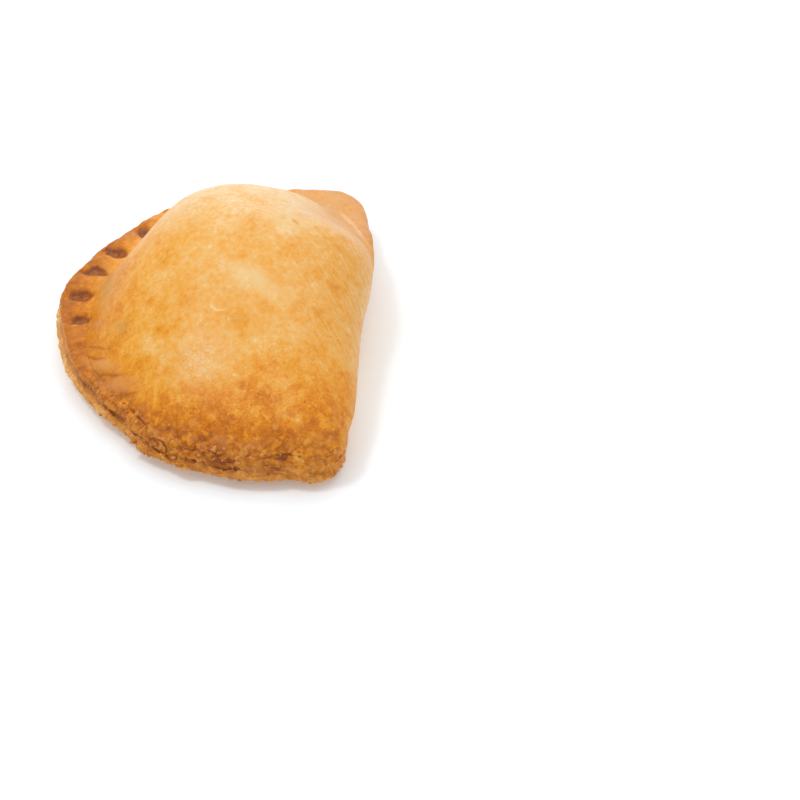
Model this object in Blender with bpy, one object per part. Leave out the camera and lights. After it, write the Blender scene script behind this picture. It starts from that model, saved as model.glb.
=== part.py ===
"""A baked half-moon pasty: one sheet of dough folded over its filling and pressed shut along the rim.

The fold runs along X and the pressed rim lies toward -Y. The pasty stands on its flat base at Z = 0.
Run it in Blender with: blender --background --python part.py
"""

import math

import bmesh
import bpy
import numpy as np
from mathutils import Vector, noise

MM = 0.001

# Plan: a half moon measured from the middle of its widest line, which lies close to the fold
NEAR_REACH = 58.0 * MM
FAR_REACH = 55.0 * MM
FOLD_REACH = 16.2 * MM
RIM_REACH = 62.0 * MM
NEAR_CORNER_POWER = 4.6
FAR_CORNER_POWER = 2.6
NEAR_RIM_POWER = 1.83
FAR_RIM_POWER = 1.97
POWER_CHANGE = 0.25

# Dome over the filling: its top stands off the middle, and is round there before it meets the rim
HEIGHT = 33.5 * MM
TOP_X = -4.5 * MM
TOP_Y = -19.5 * MM
TOP_ROUND_X = 42.5 * MM
TOP_ROUND_Y = 28.0 * MM
ROUND_FADE = 2.2
SHOULDER_POWER = 6.0

# Sections round the pasty, by the angle about the dome's top: the near end is at 0 degrees, the fold
# at 90, the far end at 180 and the rim at 270. Lengths are in millimetres. Each row holds the angle,
# the pressed flange's width, the height where the dome starts, how round and how steep the dome is,
# how far the rim lifts off the table, how far its two layers part, how softly the dome runs out into
# the flange, and how crumbly the edge is.
SECTIONS = (
    (0, 2.4, 8.4, 0.92, 1.36, 0.4, 0.1, 2.2, 1.0),
    (16, 2.0, 8.9, 0.90, 1.39, 0.2, 0.05, 1.2, 1.0),
    (32, 0.9, 9.6, 0.85, 1.45, 0.0, 0.0, 0.2, 1.0),
    (46, 0.0, 11.6, 0.77, 1.54, 0.0, 0.0, 0.0, 0.6),
    (62, 0.0, 14.0, 0.68, 1.64, 0.0, 0.0, 0.0, 0.0),
    (90, 0.0, 16.5, 0.62, 1.76, 0.0, 0.0, 0.0, 0.0),
    (110, 1.2, 15.2, 0.68, 1.72, 0.0, 0.0, 1.0, 0.0),
    (130, 7.2, 12.9, 0.80, 1.64, 0.3, 0.0, 3.2, 0.0),
    (146, 16.0, 11.4, 0.90, 1.52, 0.5, 0.1, 3.8, 0.0),
    (155, 18.2, 11.2, 0.94, 1.45, 0.6, 0.2, 3.8, 0.0),
    (166, 17.0, 11.1, 0.97, 1.38, 0.6, 0.3, 3.4, 0.0),
    (180, 14.2, 11.1, 0.98, 1.32, 0.6, 0.4, 2.6, 0.0),
    (220, 11.6, 11.8, 0.93, 1.33, 1.0, 0.5, 2.4, 0.0),
    (250, 11.2, 12.2, 0.95, 1.30, 1.6, 0.5, 4.0, 0.0),
    (268, 11.0, 12.2, 0.95, 1.30, 1.8, 0.6, 4.4, 0.0),
    (295, 8.2, 10.8, 0.95, 1.30, 1.6, 0.7, 3.6, 0.1),
    (320, 4.8, 9.2, 0.95, 1.33, 1.0, 0.6, 2.8, 0.5),
    (344, 3.2, 8.6, 0.94, 1.36, 0.6, 0.3, 2.6, 0.95),
)
FLANGE, FOOT, ROUNDNESS, STEEPNESS, LIFT, PARTING, SOFTNESS, CRUMBLY = range(1, 9)
# How far the rim lies outside the half moon: the angle, and millimetres
RIM_CHANGES = (
    (0, 1.4),
    (8, 0.5),
    (15, -0.6),
    (20, -1.3),
    (24, -1.1),
    (28, 0.8),
    (32, 2.6),
    (36, 2.4),
    (40, 1.7),
    (48, -0.2),
    (62, -0.8),
    (75, -0.4),
    (90, 0.2),
    (120, 0.1),
    (133, -0.4),
    (146, 1.0),
    (155, 0.1),
    (166, 0.5),
    (180, 0.1),
    (200, 0.5),
    (208, 1.2),
    (216, 0.5),
    (224, -0.8),
    (236, -1.7),
    (250, -1.8),
    (260, -1.2),
    (270, -0.5),
    (282, -0.6),
    (295, -1.0),
    (310, -0.4),
    (318, -0.4),
    (330, -0.4),
    (337, -0.7),
    (343, 0.2),
    (349, 1.8),
    (356, 1.9),
)
FOLD_BEGINS = (16.0, 46.0)
FOLD_ENDS = (114.0, 150.0)

# Edge of the rim, from the dome's foot over the flange and down to the base, in millimetres: the
# share of the flange's flat width, the inset from the outline, the extra inset where the layers part,
# and the height
EDGE_ROUND = 2.0 * MM
RIM_EDGE = (
    (0.86, 2.0, 0.0, 10.6),
    (0.66, 2.0, 0.0, 10.5),
    (0.46, 2.0, 0.0, 10.4),
    (0.26, 2.0, 0.0, 10.2),
    (0.08, 1.9, 0.0, 9.9),
    (0.0, 1.6, 0.2, 9.3),
    (0.0, 1.1, 0.6, 8.3),
    (0.0, 0.9, 1.2, 7.2),
    (0.0, 0.9, 2.0, 6.3),
    (0.0, 0.5, 0.7, 5.6),
    (0.0, 0.1, 0.0, 4.7),
    (0.0, 0.2, 0.0, 3.5),
    (0.0, 1.2, 0.0, 2.7),
    (0.0, 6.0, 0.0, 2.0),
    (0.0, 12.0, 0.0, 1.1),
    (0.0, 19.0, 0.0, 0.0),
    (0.0, 26.0, 0.0, 0.0),
)
# Wall of the fold, by the same steps: the inset in millimetres, and the height as a share of the
# dome's foot. It bulges above, is pinched near the table, and ends in a small foot.
FOLD_EDGE = (
    (0.0, 0.96),
    (0.0, 0.92),
    (0.1, 0.87),
    (0.2, 0.81),
    (0.4, 0.73),
    (0.7, 0.63),
    (1.3, 0.52),
    (2.0, 0.42),
    (2.5, 0.33),
    (2.8, 0.25),
    (2.8, 0.18),
    (2.6, 0.11),
    (2.8, 0.05),
    (4.2, 0.0),
    (9.0, 0.0),
    (15.0, 0.0),
    (22.0, 0.0),
)
# How many of those steps lie on top of the flange, and how the rim's lift dies away towards the base
FLANGE_STEPS = 6
LIFT_REACH = 19.0 * MM
LIFT_POWER = 0.7

# Dents that press the two layers together: the angle, and in millimetres how far in from the rim, the
# depth, and half of the length and of the width. They are deepest opposite the fold.
DENTS = (
    (178, 7.0, 0.9, 3.0, 2.4),
    (193, 6.8, 1.7, 3.0, 2.4),
    (210, 6.6, 2.0, 3.1, 2.4),
    (227, 6.4, 2.3, 3.1, 2.2),
    (246.5, 6.0, 2.4, 3.2, 2.2),
    (261.5, 6.2, 2.5, 3.1, 2.2),
    (277.5, 6.4, 2.5, 2.8, 2.2),
    (292, 6.2, 2.0, 2.7, 1.9),
    (307, 6.2, 1.1, 2.8, 2.1),
    (322, 4.8, 0.9, 2.8, 2.7),
    (337, 4.6, 0.5, 2.6, 2.4),
)

# A dent is partly an oval basin, and partly a trough that runs on a little further
BASIN_SHARE = 0.6
TROUGH_REACH = 1.15

# Crags of the torn rim, coarser where the layers part, lumps where its edge is crumbly, and slow
# unevenness of the dome
CRAG_SIZE = 3.4 * MM
CRAG_HEIGHT = 0.50 * MM
CRAG_RISE = 0.33 * MM
CRAG_REACH = 5.0 * MM
CRAG_FLOOR = 0.45
CRAG_DETAIL = 2.3
CRAG_SHIFT = Vector((7.0, 3.0, 1.0))
LUMP_SIZE = 4.6 * MM
LUMP_HEIGHT = 0.7 * MM
LUMP_SHIFT = Vector((13.0, 13.0, 13.0))
BASE_FLAT = 0.5 * MM
SWELL_SIZE = 30.0 * MM
SWELL_HEIGHT = 0.7 * MM

# Blisters in the crust: place from the dome's top, radius and height, in millimetres
BLISTERS = (
    (28.0, 3.1, 2.6, 0.30),
    (45.5, -17.0, 2.0, 0.35),
    (54.6, 4.6, 2.0, 0.30),
    (55.0, 18.6, 2.2, 0.30),
)

# Mesh: segments round the pasty, and rings over the dome, round the edge and under the base
SEGMENTS = 176
DOME_RINGS = 14
EDGE_RINGS = len(RIM_EDGE)
BASE_RINGS = 3
RINGS = DOME_RINGS + EDGE_RINGS + BASE_RINGS + 1
RIM_DENSITY = 1.6
OUTLINE_STEPS = 4000
TANGENT_REACH = 1.5 * MM
LEAST_SLANT = 0.55

# Baked crust
CRUST_COLOUR = (0.72, 0.36, 0.10, 1.0)
CRUST_ROUGHNESS = 0.45


def ease(value):
    """A smooth step from 0 to 1."""
    value = np.clip(value, 0.0, 1.0)
    return value * value * (3.0 - 2.0 * value)


def ramp(low, high, value):
    return ease((value - low) / (high - low))


def signed_power(value, power):
    return np.sign(value) * np.abs(value) ** power


def round_the_rim(rows, column, angle):
    """A column of a table at an angle in degrees, on a smooth closed curve that overshoots no row."""
    turns = [(row[0] + turn, row[column]) for turn in (-360.0, 0.0, 360.0) for row in rows]
    knots, values = np.array(turns, dtype=float).T
    spans = np.diff(knots)
    slopes = np.diff(values) / spans
    before = np.append(slopes[0], slopes)
    after = np.append(slopes, slopes[-1])
    turning = before * after <= 0.0
    tangents = np.where(turning, 0.0, 2.0 * before * after / np.where(turning, 1.0, before + after))
    row = np.clip(np.searchsorted(knots, angle, side="right") - 1, 0, len(spans) - 1)
    share = (angle - knots[row]) / spans[row]
    rest = 1.0 - share
    start = values[row] * (1.0 + 2.0 * share) * rest ** 2
    end = values[row + 1] * (1.0 + 2.0 * rest) * share ** 2
    lean = (tangents[row] * rest - tangents[row + 1] * share) * share * rest * spans[row]
    return start + end + lean


def half_moon():
    """The plan's closed outline in small steps, from the middle of the fold round by the far end."""
    turn = np.linspace(0.0, 2.0 * math.pi, OUTLINE_STEPS, endpoint=False) + math.pi / 2.0
    across = np.cos(turn)
    along = np.sin(turn)
    near = ramp(-POWER_CHANGE, POWER_CHANGE, across)
    fold_power = FAR_CORNER_POWER + (NEAR_CORNER_POWER - FAR_CORNER_POWER) * near
    rim_power = FAR_RIM_POWER + (NEAR_RIM_POWER - FAR_RIM_POWER) * near
    power = np.where(along > 0.0, fold_power, rim_power)
    reach_x = np.where(across > 0.0, NEAR_REACH, FAR_REACH)
    reach_y = np.where(along > 0.0, FOLD_REACH, RIM_REACH)
    return reach_x * signed_power(across, 2.0 / power), reach_y * signed_power(along, 2.0 / power)


def plan_table(count):
    """Points along the outline, closer together on the rim: their place, distance along it and slant."""
    x, y = half_moon()
    steps = np.hypot(np.diff(x, append=x[0]), np.diff(y, append=y[0]))
    along = np.concatenate([[0.0], np.cumsum(steps)])
    closed_x = np.append(x, x[0])
    closed_y = np.append(y, y[0])
    density = 1.0 + (RIM_DENSITY - 1.0) * ramp(0.0, -FOLD_REACH, y)
    crowding = np.concatenate([[0.0], np.cumsum(steps * density)])
    wanted = np.arange(count) / count * crowding[-1]
    distance = np.interp(wanted, crowding, along)
    place_x = np.interp(distance, along, closed_x)
    place_y = np.interp(distance, along, closed_y)
    ahead = (distance + TANGENT_REACH) % along[-1]
    behind = (distance - TANGENT_REACH) % along[-1]
    tangent_x = np.interp(ahead, along, closed_x) - np.interp(behind, along, closed_x)
    tangent_y = np.interp(ahead, along, closed_y) - np.interp(behind, along, closed_y)
    ray_x = place_x - TOP_X
    ray_y = place_y - TOP_Y
    radius = np.hypot(ray_x, ray_y)
    facing = np.abs(ray_x * tangent_y - ray_y * tangent_x)
    facing = facing / (radius * np.hypot(tangent_x, tangent_y))
    angle = np.degrees(np.arctan2(ray_y, ray_x)) % 360.0
    return {
        "ray": (ray_x / radius, ray_y / radius),
        "radius": radius + round_the_rim(RIM_CHANGES, 1, angle) * MM,
        "slant": np.maximum(facing, LEAST_SLANT),
        "angle": angle,
        "distance": distance,
    }


def section_rings(plan):
    """Radius and height of each ring, from the dome's top to the middle of the base."""
    angle = plan["angle"]
    radius = plan["radius"]
    slant = plan["slant"]
    fold = ramp(*FOLD_BEGINS, angle) * (1.0 - ramp(*FOLD_ENDS, angle))
    flange = round_the_rim(SECTIONS, FLANGE, angle) * MM
    flange = np.maximum(flange, EDGE_ROUND * (1.0 - fold))
    foot = round_the_rim(SECTIONS, FOOT, angle) * MM
    roundness = round_the_rim(SECTIONS, ROUNDNESS, angle)
    steepness = round_the_rim(SECTIONS, STEEPNESS, angle)
    lift = round_the_rim(SECTIONS, LIFT, angle) * MM
    parting = round_the_rim(SECTIONS, PARTING, angle)
    softness = round_the_rim(SECTIONS, SOFTNESS, angle) * MM
    thickness = foot - lift
    above = HEIGHT - foot
    soft_top = np.hypot(above, softness) - softness
    dome_radius = radius - flange / slant
    ray_x, ray_y = plan["ray"]
    top_round = 1.0 / np.hypot(ray_x / TOP_ROUND_X, ray_y / TOP_ROUND_Y)
    radii = []
    heights = []
    for ring in range(DOME_RINGS + 1):
        share = math.sin(math.pi / 2.0 * ring / DOME_RINGS)
        keep = share ** ROUND_FADE
        radii.append(share * (dome_radius * keep + top_round * (1.0 - keep)))
        fall = roundness * share ** 2 + (1.0 - roundness) * share ** SHOULDER_POWER
        rise = above * np.maximum(1.0 - fall, 0.0) ** (1.0 / steepness)
        heights.append(foot + (np.hypot(rise, softness) - softness) * above / soft_top)
    for rim_step, fold_step in zip(RIM_EDGE, FOLD_EDGE):
        width_share, inset, parted, height = rim_step
        flat = np.maximum(flange - EDGE_ROUND, 0.0)
        rim_inset = width_share * flat + (inset + parted * parting) * MM
        raised = np.clip(1.0 - rim_inset / LIFT_REACH, 0.0, 1.0) ** LIFT_POWER
        rim_height = height / RIM_EDGE[0][3] * thickness + lift * raised
        fold_inset = fold_step[0] * MM
        fold_height = fold_step[1] * foot
        radii.append(radius - (rim_inset * (1.0 - fold) + fold_inset * fold) / slant)
        heights.append(rim_height * (1.0 - fold) + fold_height * fold)
    base_radius = radii[-1]
    for ring in range(1, BASE_RINGS + 2):
        radii.append(base_radius * (1.0 - ring / (BASE_RINGS + 1.0)))
        heights.append(np.zeros_like(base_radius))
    return np.array(radii), np.array(heights), fold


def press_dents(plan, radii, heights):
    """Lowers the top of the flange where each dent was pressed."""
    top = np.arange(len(radii))[:, None] <= DOME_RINGS + FLANGE_STEPS
    inset = (plan["radius"] - radii) * plan["slant"]
    depth = np.zeros_like(heights)
    for angle, middle, deep, half_length, half_width in DENTS:
        start = plan["distance"][np.argmin(np.abs(plan["angle"] - angle))]
        across = np.abs(plan["distance"] - start) / (half_width * MM)
        along = np.abs(inset - middle * MM) / (half_length * MM)
        basin = np.exp(-(np.hypot(across, along) ** 3))
        trough = np.exp(-((across / TROUGH_REACH) ** 2) - (along / TROUGH_REACH) ** 4)
        depth += deep * MM * (BASIN_SHARE * basin + (1.0 - BASIN_SHARE) * trough)
    return heights - depth * top


def blister_height(x, y):
    """Height that the blisters add at a place seen from above."""
    height = 0.0
    for place_x, place_y, radius, rise in BLISTERS:
        away = math.hypot(x - TOP_X - place_x * MM, y - TOP_Y - place_y * MM) / (radius * MM)
        height += rise * MM * math.exp(-(away ** 4))
    return height


def crag(point, size):
    """Uneven relief of two sizes, between about -1 and 1."""
    coarse = noise.noise(point / size)
    fine = noise.noise(point / size * CRAG_DETAIL + CRAG_SHIFT)
    return coarse + 0.5 * fine


def place_vertices(mesh):
    """Moves a sphere's vertices, ring by ring and segment by segment, onto the pasty."""
    plan = plan_table(SEGMENTS)
    radii, heights, fold = section_rings(plan)
    heights = press_dents(plan, radii, heights)
    ray_x, ray_y = plan["ray"]
    torn = (1.0 - fold) * (CRAG_FLOOR + round_the_rim(SECTIONS, PARTING, plan["angle"]))
    crumbly = (1.0 - fold) * round_the_rim(SECTIONS, CRUMBLY, plan["angle"])
    for vertex in mesh.verts:
        ring = round(math.acos(max(-1.0, min(1.0, vertex.co.z))) / math.pi * RINGS)
        segment = round(math.atan2(vertex.co.y, vertex.co.x) / (2.0 * math.pi) * SEGMENTS) % SEGMENTS
        radius = radii[ring, segment]
        height = heights[ring, segment]
        x = TOP_X + ray_x[segment] * radius
        y = TOP_Y + ray_y[segment] * radius
        if height > BASE_FLAT:
            here = Vector((x, y, height))
            near_edge = math.exp(-(((plan["radius"][segment] - radius) / CRAG_REACH) ** 2))
            outward = CRAG_HEIGHT * near_edge * torn[segment] * crag(here, CRAG_SIZE)
            lump = noise.noise(here / LUMP_SIZE + LUMP_SHIFT)
            outward += LUMP_HEIGHT * near_edge * crumbly[segment] * lump
            x += ray_x[segment] * outward
            y += ray_y[segment] * outward
            height += CRAG_RISE * near_edge * torn[segment] * crag(here.zxy, CRAG_SIZE)
            height += SWELL_HEIGHT * noise.noise(here / SWELL_SIZE) * (1.0 - near_edge)
            height += blister_height(x, y)
        vertex.co = (x, y, height)


def centre_on_base(mesh):
    """Slides the pasty so that the middle of its box stands over the origin."""
    xs = [vertex.co.x for vertex in mesh.verts]
    ys = [vertex.co.y for vertex in mesh.verts]
    middle = Vector(((min(xs) + max(xs)) / 2.0, (min(ys) + max(ys)) / 2.0, 0.0))
    bmesh.ops.translate(mesh, verts=mesh.verts, vec=-middle)


def crust_material():
    """Egg-washed shortcrust, baked golden: satin, with a thin glaze."""
    material = bpy.data.materials.new("baked_crust")
    material.use_nodes = True
    shader = material.node_tree.nodes["Principled BSDF"]
    shader.inputs["Base Color"].default_value = CRUST_COLOUR
    shader.inputs["Roughness"].default_value = CRUST_ROUGHNESS
    shader.inputs["Metallic"].default_value = 0.0
    material.diffuse_color = CRUST_COLOUR
    return material


def build_pasty(collection):
    """The pasty as one closed solid."""
    mesh = bmesh.new()
    bmesh.ops.create_uvsphere(mesh, u_segments=SEGMENTS, v_segments=RINGS, radius=1.0)
    place_vertices(mesh)
    centre_on_base(mesh)
    bmesh.ops.triangulate(mesh, faces=mesh.faces)
    data = bpy.data.meshes.new("empanadilla")
    mesh.to_mesh(data)
    mesh.free()
    data.shade_smooth()
    data.materials.append(crust_material())
    pasty = bpy.data.objects.new("empanadilla", data)
    collection.objects.link(pasty)
    return pasty


def main():
    for old in list(bpy.data.objects):
        bpy.data.objects.remove(old, do_unlink=True)
    collection = bpy.data.collections.new("empanadilla")
    bpy.context.scene.collection.children.link(collection)
    build_pasty(collection)


main()
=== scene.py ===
# %% [markdown]
# # A baked empanadilla, dressed from its plain solid
# An empanadilla is a small half-moon turnover: one round of dough is folded over its filling, and
# the open rim is pressed shut with the fingers. This lesson loads the plain solid as a fixed frame,
# then makes the crust that the eye sees: the same form with a torn rim, pressed dents, blisters and
# crumbs, in a material that browns where an oven browns it.

import math

import bmesh
import bpy
import numpy as np
from mathutils import Matrix, Vector, noise


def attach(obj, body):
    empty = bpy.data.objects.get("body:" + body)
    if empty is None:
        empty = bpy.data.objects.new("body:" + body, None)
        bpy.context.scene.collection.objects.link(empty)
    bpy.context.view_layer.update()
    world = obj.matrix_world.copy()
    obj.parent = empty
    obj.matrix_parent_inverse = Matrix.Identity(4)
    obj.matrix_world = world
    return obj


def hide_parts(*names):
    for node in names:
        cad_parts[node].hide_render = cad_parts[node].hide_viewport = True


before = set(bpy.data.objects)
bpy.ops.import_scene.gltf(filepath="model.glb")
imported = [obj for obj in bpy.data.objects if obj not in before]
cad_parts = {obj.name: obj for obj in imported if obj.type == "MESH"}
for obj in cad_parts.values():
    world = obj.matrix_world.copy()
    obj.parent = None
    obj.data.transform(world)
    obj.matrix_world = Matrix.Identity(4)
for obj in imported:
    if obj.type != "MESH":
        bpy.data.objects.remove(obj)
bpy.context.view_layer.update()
MM = 0.001

# %% [markdown]
# ## Small helpers
# Colours are written as the hex values that a colour picker shows. Cycles computes in linear light,
# so one function turns them over. A second one adds a node with its settings, its plain values and
# its links, which keeps the long material below readable. The others make smooth steps and soft
# spots.


# %% Helpers for colours, nodes and soft steps
def linear(hex_colour):
    """An sRGB hex colour as linear red, green, blue and alpha."""
    parts = [int(hex_colour[i : i + 2], 16) / 255.0 for i in (1, 3, 5)]
    parts = [c / 12.92 if c <= 0.04045 else ((c + 0.055) / 1.055) ** 2.4 for c in parts]
    return (*parts, 1.0)


def add_node(tree, kind, settings=None, values=None, links=None):
    """One node, with its settings, the plain values of its sockets and the links into it."""
    node = tree.nodes.new(kind)
    for name, value in (settings or {}).items():
        setattr(node, name, value)
    for socket, value in (values or {}).items():
        node.inputs[socket].default_value = value
    for socket, source in (links or {}).items():
        tree.links.new(source, node.inputs[socket])
    return node


def ease(value):
    """A smooth step from 0 to 1."""
    value = np.clip(value, 0.0, 1.0)
    return value * value * (3.0 - 2.0 * value)


def ramp(low, high, value):
    return ease((value - low) / (high - low))


def bump_at(distance, reach, power=2.0):
    """A soft spot: 1 in the middle, and near 0 past its reach."""
    return np.exp(-(np.abs(distance / reach) ** power))


# %% [markdown]
# ## Camera
# A photographer stood a little above the table and looked down at the near end of the fold. The
# camera is set by the direction that it looks from, its distance and the point that it looks at, so
# that each of the three can be changed alone. The lens is a portrait length, which keeps the
# perspective mild.

# %% Camera
CAMERA_AZIMUTH = math.radians(94.5)
CAMERA_ELEVATION = math.radians(38.5)
CAMERA_DISTANCE = 490 * MM
CAMERA_TARGET = Vector((6.13, 46.65, -11.64)) * MM
LENS_MM = 88.92
SENSOR_MM = 36.0

camera_back = Vector(
    (
        math.sin(CAMERA_AZIMUTH) * math.cos(CAMERA_ELEVATION),
        -math.cos(CAMERA_AZIMUTH) * math.cos(CAMERA_ELEVATION),
        math.sin(CAMERA_ELEVATION),
    )
)
camera_right = Vector((math.cos(CAMERA_AZIMUTH), math.sin(CAMERA_AZIMUTH), 0.0))
camera_up = camera_back.cross(camera_right)
camera_data = bpy.data.cameras.new("camera")
camera_data.lens = LENS_MM
camera_data.sensor_width = SENSOR_MM
camera = bpy.data.objects.new("camera", camera_data)
placing = Matrix((camera_right, camera_up, camera_back)).transposed().to_4x4()
placing.translation = CAMERA_TARGET + camera_back * CAMERA_DISTANCE
camera.matrix_world = placing
bpy.context.scene.collection.objects.link(camera)
bpy.context.scene.camera = camera
print("camera at", [round(v, 3) for v in camera.location])

# %% [markdown]
# ## Table and light
# Bakery goods are shown on a white sweep under large soft lights. A broad light behind and above
# pales the top of the crust and throws the soft contact shadow towards the camera. A second one,
# nearly overhead, draws the gloss of the egg wash, and a weak low one behind draws the edge. White
# surroundings fill the shadows, and the sweep itself is lit a little from below, as on a light
# table, so that only the contact shadow stays.

# %% Floor, lights and surroundings
FLOOR_SIZE = 4.0
FLOOR_WHITE = "#F3FAFF"
BACK_LIGHT_PLACE = Vector((-0.42, 0.04, 0.62))
BACK_LIGHT_SIZE = 0.70
BACK_LIGHT_POWER = 1.58
TOP_LIGHT_PLACE = Vector((0.06, -0.27, 0.72))
TOP_LIGHT_SIZE = 0.17
TOP_LIGHT_POWER = 1.3
RIM_LIGHT_PLACE = Vector((-0.75, 0.05, 0.18))
RIM_LIGHT_SIZE = 0.45
RIM_LIGHT_POWER = 0.35
SURROUND_STRENGTH = 0.72
TABLE_GLOW = 0.12
PAPER_ROUGHNESS = 0.9
PAPER_SHINE = 0.1
WHITE = (1.0, 1.0, 1.0, 1.0)

scene = bpy.context.scene
scene.view_settings.view_transform = "Standard"

floor_mesh = bmesh.new()
bmesh.ops.create_grid(floor_mesh, x_segments=1, y_segments=1, size=FLOOR_SIZE / 2)
floor_data = bpy.data.meshes.new("table")
floor_mesh.to_mesh(floor_data)
floor_mesh.free()
floor = bpy.data.objects.new("table", floor_data)
scene.collection.objects.link(floor)

paper = bpy.data.materials.new("matt_white_paper")
paper.use_nodes = True
for socket, value in (
    ("Base Color", linear(FLOOR_WHITE)),
    ("Roughness", PAPER_ROUGHNESS),
    ("Specular IOR Level", PAPER_SHINE),
    ("Emission Color", WHITE),
    ("Emission Strength", TABLE_GLOW),
):
    paper.node_tree.nodes["Principled BSDF"].inputs[socket].default_value = value
floor_data.materials.append(paper)

for name, place, size, power in (
    ("back_softbox", BACK_LIGHT_PLACE, BACK_LIGHT_SIZE, BACK_LIGHT_POWER),
    ("top_softbox", TOP_LIGHT_PLACE, TOP_LIGHT_SIZE, TOP_LIGHT_POWER),
    ("rim_softbox", RIM_LIGHT_PLACE, RIM_LIGHT_SIZE, RIM_LIGHT_POWER),
):
    lamp_data = bpy.data.lights.new(name, "AREA")
    lamp_data.size = size
    lamp_data.energy = power
    lamp = bpy.data.objects.new(name, lamp_data)
    lamp.location = place
    lamp.rotation_euler = (-place).to_track_quat("-Z", "Y").to_euler()
    scene.collection.objects.link(lamp)

surroundings = bpy.data.worlds.new("white_studio")
surroundings.use_nodes = True
backdrop = surroundings.node_tree.nodes["Background"]
backdrop.inputs["Color"].default_value = WHITE
backdrop.inputs["Strength"].default_value = SURROUND_STRENGTH
scene.world = surroundings

# %% [markdown]
# ## The plan of the turnover
# Seen from above, the dough is a half moon: a full curve on the rim's side and a nearly straight
# fold. Two superellipses of different powers, joined at the widest line, give that outline with
# only a few numbers. The same numbers made the solid, so this crust lies where the solid lies.

# %% Plan outline
PLAN_PLACE = Vector((-1.252, 22.443, 0.0)) * MM
NEAR_REACH = 58.0 * MM
FAR_REACH = 55.0 * MM
FOLD_REACH = 16.2 * MM
RIM_REACH = 62.0 * MM
NEAR_CORNER_POWER = 4.6
FAR_CORNER_POWER = 2.6
NEAR_RIM_POWER = 1.83
FAR_RIM_POWER = 1.97
POWER_CHANGE = 0.25
TOP_X = -4.5 * MM
TOP_Y = -19.5 * MM
OUTLINE_STEPS = 8000


def signed_power(value, power):
    return np.sign(value) * np.abs(value) ** power


def half_moon():
    """The plan's closed outline in small steps, from the fold's middle round by the far end."""
    turn = np.linspace(0.0, 2.0 * math.pi, OUTLINE_STEPS, endpoint=False) + math.pi / 2.0
    across = np.cos(turn)
    along = np.sin(turn)
    near = ramp(-POWER_CHANGE, POWER_CHANGE, across)
    fold_power = FAR_CORNER_POWER + (NEAR_CORNER_POWER - FAR_CORNER_POWER) * near
    rim_power = FAR_RIM_POWER + (NEAR_RIM_POWER - FAR_RIM_POWER) * near
    power = np.where(along > 0.0, fold_power, rim_power)
    reach_x = np.where(across > 0.0, NEAR_REACH, FAR_REACH)
    reach_y = np.where(along > 0.0, FOLD_REACH, RIM_REACH)
    return reach_x * signed_power(across, 2.0 / power), reach_y * signed_power(along, 2.0 / power)


outline_x, outline_y = half_moon()
print("plan", round(np.ptp(outline_x) / MM, 1), "by", round(np.ptp(outline_y) / MM, 1), "mm")

# %% [markdown]
# ## Sections round the pasty
# What a knife would show changes on the way round: a wide pressed flange at the far end, a dented
# one on the rim, a narrow crumbly one at the near end and a plain bulging wall at the fold. Each
# row of the table is one measure, given at the angles above it, and a smooth curve runs through
# each row.

# %% Sections by angle
# Lengths in millimetres. The foot is where the dome starts, the lift is how far the rim's underside
# stands off the table, and soft is the size of the fillet between the rim and the dome
SECTION_ANGLES = (0, 16, 32, 46, 62, 90, 110, 130, 146, 155, 166, 180, 220, 250, 268, 295, 320, 344)
SECTIONS = {
    "flange": (2.4, 2, 0.9, 0, 0, 0, 0.8, 4, 10, 12.4, 13.4, 13, 11.6, 11.2, 11, 8.2, 4.8, 3.2),
    "foot": (
        *(8.4, 8.9, 9.6, 11.6, 14, 16.5, 15.2, 12.9, 11.4),
        *(11.2, 11.1, 11.1, 11.8, 12.2, 12.2, 10.8, 9.2, 8.6),
    ),
    "round": (
        *(0.92, 0.9, 0.85, 0.77, 0.68, 0.62, 0.72, 0.84, 0.85),
        *(0.87, 0.94, 0.98, 0.93, 0.95, 0.95, 0.95, 0.95, 0.94),
    ),
    "steep": (
        *(1.36, 1.39, 1.45, 1.54, 1.64, 1.76, 1.62, 1.46, 1.48),
        *(1.50, 1.40, 1.32, 1.33, 1.3, 1.3, 1.3, 1.33, 1.36),
    ),
    "lift": (0.4, 0.2, 0, 0, 0, 0, 0, 0.3, 0.5, 0.6, 0.6, 0.6, 1, 1.6, 1.8, 1.6, 1, 0.6),
    "parting": (0.3, 0.05, 0, 0, 0, 0, 0, 0, 0.1, 0.2, 0.3, 0.4, 0.5, 0.5, 0.6, 0.7, 0.6, 0.35),
    "soft": (2.2, 1.2, 0.2, 0, 0, 0, 2.5, 9, 11.5, 8.4, 4.8, 2.8, 2.4, 4, 4.4, 3.6, 2.8, 2.6),
    "crumbly": (1, 1, 1, 0.6, 0, 0, 0, 0, 0, 0, 0, 0, 0, 0, 0, 0.1, 0.5, 0.95),
}
# How far the rim lies outside the half moon: angle in degrees, millimetres
RIM_CHANGES = (
    (0, 1.4), (8, 0.5), (15, -0.6), (20, -1.3), (24, -0.6), (27, 0.6),
    (31, 2.8), (35, 2.0), (40, 1.2), (48, -0.2), (62, -0.8), (75, -0.4),
    (90, 0.2), (106, 0.0), (118, -0.5), (128, -0.1), (136, 0.2), (146, 1.0),
    (155, 0.1), (166, 0.5), (180, 0.1), (200, 0.5), (208, 1.2), (216, 0.5),
    (224, -0.8), (236, -1.7), (250, -1.8), (260, -1.2), (270, -0.5), (282, -0.6),
    (295, -1.0), (310, -0.4), (318, -0.4), (330, -0.4), (337, -0.7), (343, 0.2),
    (349, 1.8), (356, 1.9),
)
FOLD_BEGINS = (16.0, 46.0)
FOLD_ENDS = (114.0, 150.0)
TANGENT_REACH = 1.5 * MM
LEAST_SLANT = 0.55
RIM_DENSITY = 2.1


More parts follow.
